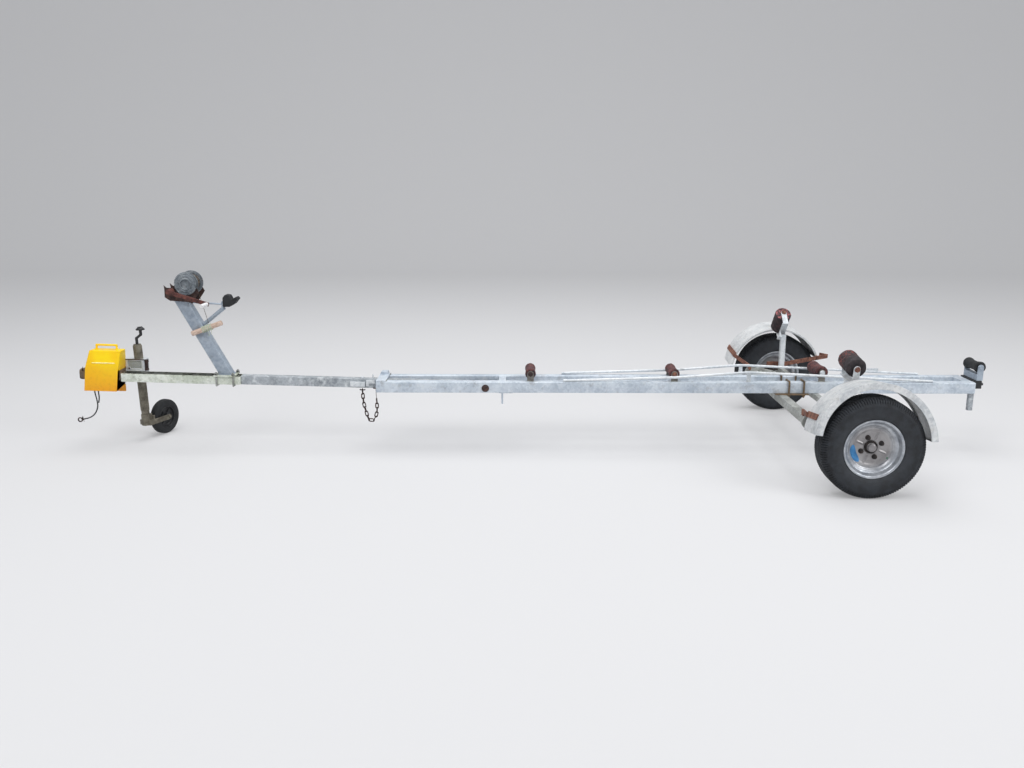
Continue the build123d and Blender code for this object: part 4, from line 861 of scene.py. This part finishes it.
class TRAILER_OT_jockey_wheel(bpy.types.Operator):
    """Jockey tyre with two grooves, its spoked plastic rim, and the clamp's small parts"""

    bl_idname = "trailer.jockey_wheel"
    bl_label = "Jockey wheel"

    def execute(self, context):
        def on_hub(points):
            return on_fork(np.asarray(points, float) + np.array([JOCKEY_TRAIL, 0.0, JOCKEY_RADIUS]))

        half = [
            (61, 21), (66, 23.5), (77, 25), (86, 24), (95, 20), (99, 15.5), (100, 11), (100, 9.5), (98, 8.6),
            (98, 6.8), (100, 5.8), (100, 3),
        ]
        tyre = moulded(half + [(r, -y) for r, y in half[::-1]], 2.5, 3, 1.9, 96)
        Shape(on_hub).hoop(tyre).build("jockey_tyre_grooved", "black_moulded_rubber", "jockey_tyre")
        Shape(on_hub).hoop(spoked_rim()).build("jockey_rim_spoked", "black_moulded_plastic", "jockey_rim")
        shape = Shape(on_drawbar)
        shape.tube(evened([(-2016, 41.5, 85.5), (-1910, 41.5, 85.5)], 4.0), 3.2, 10, (0, 1, 0))
        boss = [(10, 0), (11.5, 1.5), (11.5, 12), (9, 14), (9, 46), (11.5, 48), (11.5, 60), (10, 62)]
        shape.stud(boss, (-1905, 56, 22), (0, 0, 1))
        for radius, v, slot in ((7.5, 40.3, 1), (5.0, 39.3, 0)):
            shape.stud([(radius, 0), (radius, 2.4), (radius - 1.2, 3.4)], (-1996, v, 36), (0, -1, 0), slot)
        u, w = np.meshgrid(np.linspace(-2003.5, -1929.5, 61), np.linspace(34.5, 78.5, 37), indexing="ij")
        weave = 45.6 + 0.9 * np.sin(u * 1.1 + w * 1.1) * np.sin(u * 1.1 - w * 1.1)
        shape.add(np.stack([u, weave, w], -1), 2)
        finishes = "rusted_dark_steel zinc_plated_steel dirty_grey_mesh"
        shape.build("clamp_parts", finishes, "jockey_clamp", replaces=False)
        # Ridges along the hood: their pale colour is a painted highlight of glare along the crest
        shape = Shape(on_drawbar)
        for side in SIDES.values():
            line = evened([(-2166, side * 48.2, 80), (-2036, side * 48.2, 80)], 5.0)
            count = np.arange(len(line))
            taper = np.clip(np.minimum(count, count[::-1]) / 2.0 + 0.35, 0, 1)
            shape.tube(line, 3.4, 12, (0, 1, 0), taper)
        shape.build("hood_ridges", "yellow_ridge_painted_glare", "lock_box", replaces=False)
        return {"FINISHED"}


def gear_grid():
    """The winch gear's section turned round its axis. It shrinks between its 44 teeth, and 30 pocks are
    pressed into the ring on its near face."""
    section = [
        (0, -50), (5, -50.5), (9, -52), (14, -52), (15, -50), (23.5, -50), (25, -60), (27, -62.5),
        (32, -62.5), (33.5, -59), (37, -59), (38.5, -62), (48, -62), (49, -60.5), (52, -60.5), (53, -62.8),
        (59.5, -62.8), (61.5, -61.5), (61.5, -55), (60, -54), (16, -54), (14, -53), (14, -48.6), (8, -48.6),
    ]
    x, y, z = np.moveaxis(turned(evened(rounded(section, 1.0, 2, closed=False), 1.5), 240), -1, 0)
    teeth, pocks, pock_ring = 44, 30, 43
    reach = np.hypot(x, z)
    angle = np.arctan2(z, x)
    gap = (np.cos(teeth * angle) < -0.1) * (reach > 57.6)
    pressed = (np.cos(pocks * angle) > 0.55) * (np.abs(reach - pock_ring) < 2.6) * (y < -61)
    shrink = 1 - gap * 3.2 / np.maximum(reach, 1.0)
    return np.stack([x * shrink, y + pressed * 1.6, z * shrink], -1)


class TRAILER_OT_winch(bpy.types.Operator):
    """Winch gear with its teeth, the wound drum, the crank's ribbed grip and the line led down to the bar"""

    bl_idname = "trailer.winch"
    bl_label = "Winch"

    def execute(self, context):
        turns = context.scene.trailer_sizes.rope_turns

        def on_drum(points):
            return on_drawbar(np.asarray(points, float) + np.array([DRUM[0], 0.0, DRUM[1]]))

        half, core = 39.0, 44.0
        pitch = 2 * half / turns
        y = np.linspace(-half, half, turns * 8 + 1)
        coil = core + pitch / 2 * np.abs(np.sin(math.pi * (y + half) / pitch)) ** 0.5
        near = [(8, -43), (63, -43), (64, -42), (64, -40.5), (62, -39.5), (44, -39.2)]
        far = [(44, 39.2), (62, 39.5), (64, 40.5), (64, 42), (63, 43), (8, 43), (8, 57), (7, 58), (0, 58)]
        shape = Shape(on_drum).add(gear_grid(), close_rows=True)
        shape.lathed(near, 64).lathed(np.stack([coil, y], 1), 64, 1).lathed(far, 64)
        shape.build("winch_gear_and_drum", "dull_gear_zinc weathered_winch_line", "winch_drum")
        grip = [
            (0, 0), (8, 0.3), (10, 2), (10.4, 5), (8.8, 9), (8.8, 12), (10.4, 16), (10.5, 44), (10.4, 70),
            (8.8, 74), (8.8, 77), (10.4, 80), (9.4, 84.5), (7, 86), (0, 86),
        ]
        start = (CRANK[0] + CRANK_REACH[0], -94.0, CRANK[1] + CRANK_REACH[1])
        grip = spun(evened(rounded(grip, 1.5, 3, closed=False), 1.6), 32)
        shape = Shape(on_drawbar).add(aimed(grip, start, (0, -1, 0)), close_columns=True)
        shape.build("crank_grip_waisted", "white_moulded_plastic", "crank_grip")
        route = on_drawbar([(-1577, -24, 520), (-1556, -29, 453), (-1533, -35, 380), (-1513, -40, 316)])
        line = cord_curve("winch_line", route, 1.25, "weathered_winch_line", "winch_post")
        return {"FINISHED"}


class TRAILER_OT_bow_stop(bpy.types.Operator):
    """The round wooden bar and the lashing that holds it to the post"""

    bl_idname = "trailer.bow_stop"
    bl_label = "Bar and lashing"

    def execute(self, context):
        start, end = np.array(BAR_ENDS)
        length = float(np.linalg.norm(end - start))
        step = (end - start) / np.linalg.norm(end - start)
        stick = [
            (0, 0), (10.5, 0), (13, 1.2), (BAR_RADIUS, 4), (BAR_RADIUS, length * 0.5),
            (BAR_RADIUS, length - 4), (13, length - 1.2), (10.5, length), (0, length),
        ]
        stick = spun(evened(rounded(stick, 2.0, 3, closed=False), 3.0), 32)
        shape = Shape(on_drawbar).add(aimed(stick, start, step), close_columns=True)
        shape.build("wooden_bar_round", "bare_softwood", "wooden_bar")
        shape = Shape(on_drawbar)
        angle = np.linspace(0, 2 * math.pi, 40, endpoint=False)[:, None]
        up = np.cross(step, [0.0, 1.0, 0.0])
        flat = np.array([0.0, 0.86, 0.0])
        for index in range(LASHING_TURNS):
            centre = start + step * (LASHING_START + LASHING_PITCH * index)
            lean = step * 2.2 * math.sin(index * 2.1)
            reach = 16.0 + 0.5 * math.sin(index * 1.7)
            path = centre + reach * (np.cos(angle) * flat + np.sin(angle) * up)
            shape.hoop(carried(circle(2.1, 8), path + np.cos(angle) * lean, step, closed=True))
        shape.build("lashing_turns", "pale_laid_cord", "bar_lashing")
        tails = [
            [(-1500, -58, 300), (-1494, -61, 288), (-1492, -61, 270), (-1496, -60, 258)],
            [(-1522, -58, 290), (-1514, -61, 280), (-1506, -61, 268), (-1505, -61, 256), (-1509, -60, 248)],
        ]
        for index, points in enumerate(tails):
            route = on_drawbar(points)
            tail = cord_curve(f"lashing_tail_{index + 1}", route, 1.6, "pale_laid_cord", "bar_lashing")
        return {"FINISHED"}


def worn_roller(half, radius, waist, wear):
    """A roller's section, with a waist and a recess round the pin at each end, turned round y. Its outside is
    sunk by three crossed sines of the angle and the place along it."""
    section = [
        (8.2, -half + 3), (radius * 0.5, -half + 3), (radius * 0.56, -half), (radius - 3, -half),
        (radius, -half + 5), (waist, -half / 3), (waist, half / 3), (radius, half - 5), (radius - 3, half),
        (radius * 0.56, half), (radius * 0.5, half - 3), (8.2, half - 3),
    ]
    x, y, z = np.moveaxis(moulded(section, 4.0, 4, 2.4, 80), -1, 0)
    angle = np.arctan2(z, x)
    reach = np.hypot(x, z)
    rough = 1.5 + np.sin(3 * angle + y / 17) * np.sin(y / 9 + 2 * angle) + 0.5 * np.sin(9 * angle - y / 5)
    shrink = 1 - np.clip((reach - radius * 0.6) / (radius * 0.4), 0, 1) * wear * rough / reach
    return np.stack([x * shrink, y, z * shrink], -1)


class TRAILER_OT_rollers(bpy.types.Operator):
    """Worn rubber rollers on their pins"""

    bl_idname = "trailer.rollers"
    bl_label = "Rollers"

    def execute(self, context):
        for name, x, z, radius, waist, _ in KEEL:
            grid = worn_roller(79.0, radius, waist, 0.6) + np.array([x, 0.0, z])
            Shape().hoop(grid).build(name + "_worn", "worn_red_rubber", name)
        grid = worn_roller(70.0, 32.0, 25.0, 0.3) + np.array(REAR_ROLLER)
        Shape().hoop(grid).build("rear_roller_worn", "black_moulded_rubber", "rear_roller")
        disc = turned([(14.0, -67.4), (30.0, -67.9), (43.0, -67.6), (45.5, -66.0), (45.5, -64.0)], 64)
        nuts = Shape()
        for name, pivot_z, tilt, slide in BILGE:
            side = SIDES[name]
            pin = np.array([0.0, slide, BILGE_RISE])

            def on_post(points):
                return leaned(points, (BILGE_X, side * BILGE_Y, pivot_z), -side * tilt)

            shape = Shape(on_post).hoop(worn_roller(67.0, 49.0, 48.0, 0.9) + pin)
            finishes = "worn_black_rubber"
            if side > 0:
                shape.add(disc + pin, 1, close_rows=True)
                finishes = "black_roller_rubber marked_end_rubber"
            shape.build("bilge_roller_worn_" + name, finishes, "bilge_roller_" + name)
            nuts.frame_of = on_post
            for end in (-1, 1):
                foot = (0.0, slide + end * 78.2, BILGE_RISE)
                nuts.fasten(foot, (0, end, 0), (24, 7), stem=(7.5, 3.0), washer=(14.0, 1.4))
        nuts.build("bilge_pin_nuts", "rusted_flat_bar", "bilge_forks", replaces=False)
        return {"FINISHED"}


class TRAILER_OT_chain(bpy.types.Operator):
    """The safety chain's round links and its staples"""

    bl_idname = "trailer.chain"
    bl_label = "Safety chain"

    def execute(self, context):
        shape = Shape(on_drawbar)
        point = np.array(CHAIN_START)
        angle = np.linspace(0, 2 * math.pi, 28, endpoint=False)[:, None]
        wide = np.cos(angle)
        for index, heading in enumerate(CHAIN_HEADINGS):
            along = np.array([math.cos(math.radians(heading)), 0.0, math.sin(math.radians(heading))])
            across = np.array([-along[2], 0.0, along[0]]) if index % 2 else np.array([0.0, 1.0, 0.0])
            link = point + along * (CHAIN_PITCH / 2)
            link = link + along * (7.4 * wide + 8.1 * np.tanh(4 * wide)) + across * 7.4 * np.sin(angle)
            shape.hoop(carried(circle(CHAIN_WIRE, 10), link, np.cross(along, across), closed=True))
            point = point + along * CHAIN_PITCH
        for u, w in ((CHAIN_START[0], -34.0), (point[0] - 4.0, -23.0)):
            corners = [(u - 13, -25, w), (u - 13, -36, w), (u + 13, -36, w), (u + 13, -25, w)]
            staple = evened(rounded(corners, 6.0, 5, closed=False), 1.5)
            shape.tube(staple, CHAIN_WIRE, 10, (0, 0, 1))
        tie = evened([(point[0], -36, point[2] - 4), (point[0] - 4, -36, -27)], 1.5)
        shape.tube(tie, 1.5, 8, (0, 1, 0))
        shape.build("chain_links", "rusted_dark_steel", "safety_chain")
        return {"FINISHED"}


class TRAILER_OT_cables(bpy.types.Operator):
    """The breakaway cable that hangs under the coupling, and its second strand"""

    bl_idname = "trailer.cables"
    bl_label = "Breakaway cable"

    def execute(self, context):
        hook = bpy.data.objects["cable_hook_worn"]
        routes = [
            ("safety_cable", CABLE, [hook], "fitting", 0.271),
            ("safety_cable_strand", STRAND, [], "bare", 0.132),
        ]
        for node, points, pieces, far_end, length in routes:
            route = on_drawbar([(u, CABLE_V, w) for u, w in points])
            cable = cord_curve(node + "_smooth", route, 3.5, "black_moulded_plastic", node, replaces=True)
        return {"FINISHED"}


def outline(low, high):
    """The corners of a rectangle, the first one again at its end."""
    (a, b), (c, d) = low, high
    return [(a, b), (c, b), (c, d), (a, d), (a, b)]


class TRAILER_OT_trim(bpy.types.Operator):
    """Welds, washers, nuts, and the wired edges of the mudguards"""

    bl_idname = "trailer.trim"
    bl_label = "Welds and fasteners"

    def execute(self, context):
        shape = Shape(on_drawbar).weld([(u, v, 30) for u, v in outline((-1473, -31), (-1399, 31))])
        for u in (-1484.0, -1391.0):
            for v in (-45.5, 45.5):
                shape.fasten((u, v, 29.0), (0, 0, 1), (17, 9), washer=(11.0, 1.6), slot=1)
        shape.build("post_welds", "galvanised_post galvanised_axle", "winch_post", replaces=False)
        shape = Shape()
        for side in SIDES.values():
            out = (0, side, 0)
            shape.weld([(x, side * y, 320.5) for x, y in outline((-44, 564), (-12, 596))], 2.5)
            shape.weld([(x, side * 573.5, z) for x, z in outline((-233, 267), (-185, 315))])
            shape.weld([(-2364, side * 60, 383), (-2364, side * 102, 383)], 2.5)
            for _, x, *_ in KEEL:
                shape.weld([(x - 18, side * 87, 381), (x + 18, side * 87, 381)], 2.5)
            pivot = (PIVOT_X + 0.3, side * 104.8, 345.0)
            bolt_end = (8.5, 5.0 if side > 0 else 0.6)
            shape.fasten(pivot, out, (29.5, 12.5), stem=bolt_end, washer=(20.5, 1.4), slot=1)
            for _, x, z, _, _, slot in KEEL:
                shape.fasten((x, side * 86, z), out, (24, 7), stem=(7.9, 2.0), washer=(13.5, 1.6), slot=slot)
        finishes = "galvanised_axle rusted_dark_steel zinc_plated_steel rusted_flat_bar"
        shape.build("frame_welds_and_nuts", finishes, "rail_left", replaces=False)
        for name, middle_x, rear, front, roll in MUDGUARDS:
            side = SIDES[name]
            angle = np.radians(np.linspace(rear, front, 150))

            def on_guard(points):
                return leaned(points, (middle_x, side * MUDGUARD_Y, MUDGUARD_Z), side * roll)

            shape = Shape(on_guard)
            for radius, y in ((252.0, 88.6), (270.5, -90.5)):
                edge = np.stack([radius * np.cos(angle), np.full(150, side * y), radius * np.sin(angle)], -1)
                shape.tube(edge, 2.4, 8, (0, 1, 0))
            shape.build("wired_edge_" + name, "galvanised_sheet", "mudguard_" + name, replaces=False)
        return {"FINISHED"}


class TRAILER_OT_stage(bpy.types.Operator):
    """Floor with a backdrop that curves up from it, soft lamps, world and camera"""

    bl_idname = "trailer.stage"
    bl_label = "Stage"

    def execute(self, context):
        scene = context.scene
        light = scene.trailer_light
        look = Look("stage_paper")
        path = add(look.tree, "LightPath").outputs
        seen = look.maths("MAXIMUM", path["Is Camera Ray"], path["Is Glossy Ray"])
        diffuse = look.out("BsdfDiffuse", {"Color": (*light.floor, 1.0)})
        white = look.out("Emission", {"Color": (0.86, 0.86, 0.87, 1.0), "Strength": 1.0})
        paper = look.out("MixShader", {"Fac": look.maths("MULTIPLY", seen, 0.3), 1: diffuse, 2: white})
        add(look.tree, "OutputMaterial", {"Surface": paper})
        front, back, bend, top, side = -14.0, 9.0, 4.0, 16.0, 26.0
        angles = np.linspace(0, math.pi / 2, 24)[1:]
        curve = [(back + bend * math.sin(a), bend - bend * math.cos(a)) for a in angles]
        profile = [(front, 0.0), (back, 0.0), *curve, (back + bend, top)]
        points = [(x, y, z) for y, z in profile for x in (-side, 0.0, side)]
        mesh = bpy.data.meshes.new("stage_floor")
        mesh.from_pydata(points, [], grid_faces(len(profile), 3)[:, ::-1].tolist())
        mesh.materials.append(look.material)
        mesh.shade_smooth()
        floor = bpy.data.objects.new("stage_floor", mesh)
        scene.collection.objects.link(floor)
        lamps = (
            ("key_light", (-3.0, -5.0, 7.0), 3.4, 5.0),
            ("fill_light", (6.0, -4.0, 4.5), 2.6, 4.0),
            ("top_light", (0.0, 1.0, 7.0), 3.6, 6.0),
        )
        for name, position, share, size in lamps:
            data = bpy.data.lights.new(name, "AREA")
            data.energy = light.key * share
            data.size = size
            lamp = bpy.data.objects.new(name, data)
            lamp.location = position
            direction = Vector(position) - Vector((0.0, 0.0, 0.3))
            lamp.rotation_euler = direction.to_track_quat("Z", "Y").to_euler()
            scene.collection.objects.link(lamp)
        scene.world = bpy.data.worlds.new("stage_world")
        scene.world.use_nodes = True
        tree = scene.world.node_tree
        tree.nodes.clear()
        glow = add(tree, "Background", {"Color": (0.92, 0.95, 1.0, 1.0), "Strength": 0.42})
        add(tree, "OutputWorld", {"Surface": glow.outputs[0]})
        data = bpy.data.cameras.new("camera")
        data.sensor_width = SENSOR
        data.lens = SENSOR * FOCAL_PIXELS / PHOTO_PIXELS
        camera = bpy.data.objects.new("camera", data)
        camera.location = CAMERA_PLACE
        camera.rotation_euler = (math.radians(90.0 - CAMERA_DIP), 0.0, math.radians(CAMERA_YAW))
        scene.collection.objects.link(camera)
        scene.camera = camera
        scene.view_settings.view_transform = "Standard"
        return {"FINISHED"}


OPERATORS = (
    TRAILER_OT_stage,
    TRAILER_OT_metalwork,
    TRAILER_OT_road_wheels,
    TRAILER_OT_jockey_wheel,
    TRAILER_OT_winch,
    TRAILER_OT_bow_stop,
    TRAILER_OT_rollers,
    TRAILER_OT_chain,
    TRAILER_OT_cables,
    TRAILER_OT_trim,
)


class TRAILER_PT_panel(bpy.types.Panel):
    """Lists the trailer's operators and settings"""

    bl_label = "Trailer"
    bl_idname = "TRAILER_PT_panel"
    bl_space_type = "VIEW_3D"
    bl_region_type = "UI"
    bl_category = "Trailer"

    def draw(self, context):
        for group in (context.scene.trailer_sizes, context.scene.trailer_light):
            for name in group.__annotations__:
                self.layout.prop(group, name)
        for operator in OPERATORS:
            self.layout.operator(operator.bl_idname)


CLASSES = (TrailerSizes, TrailerLight, *OPERATORS, TRAILER_PT_panel)


def register():
    for cls in CLASSES:
        bpy.utils.register_class(cls)
    bpy.types.Scene.trailer_sizes = PointerProperty(type=TrailerSizes)
    bpy.types.Scene.trailer_light = PointerProperty(type=TrailerLight)


def unregister():
    del bpy.types.Scene.trailer_light
    del bpy.types.Scene.trailer_sizes
    for cls in reversed(CLASSES):
        bpy.utils.unregister_class(cls)


def main():
    """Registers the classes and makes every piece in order."""
    register()
    bpy.ops.trailer.stage()
    bpy.ops.trailer.metalwork()
    bpy.ops.trailer.road_wheels()
    bpy.ops.trailer.jockey_wheel()
    bpy.ops.trailer.winch()
    bpy.ops.trailer.bow_stop()
    bpy.ops.trailer.rollers()
    bpy.ops.trailer.chain()
    bpy.ops.trailer.cables()
    bpy.ops.trailer.trim()
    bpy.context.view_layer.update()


if __name__ == "__main__":
    main()
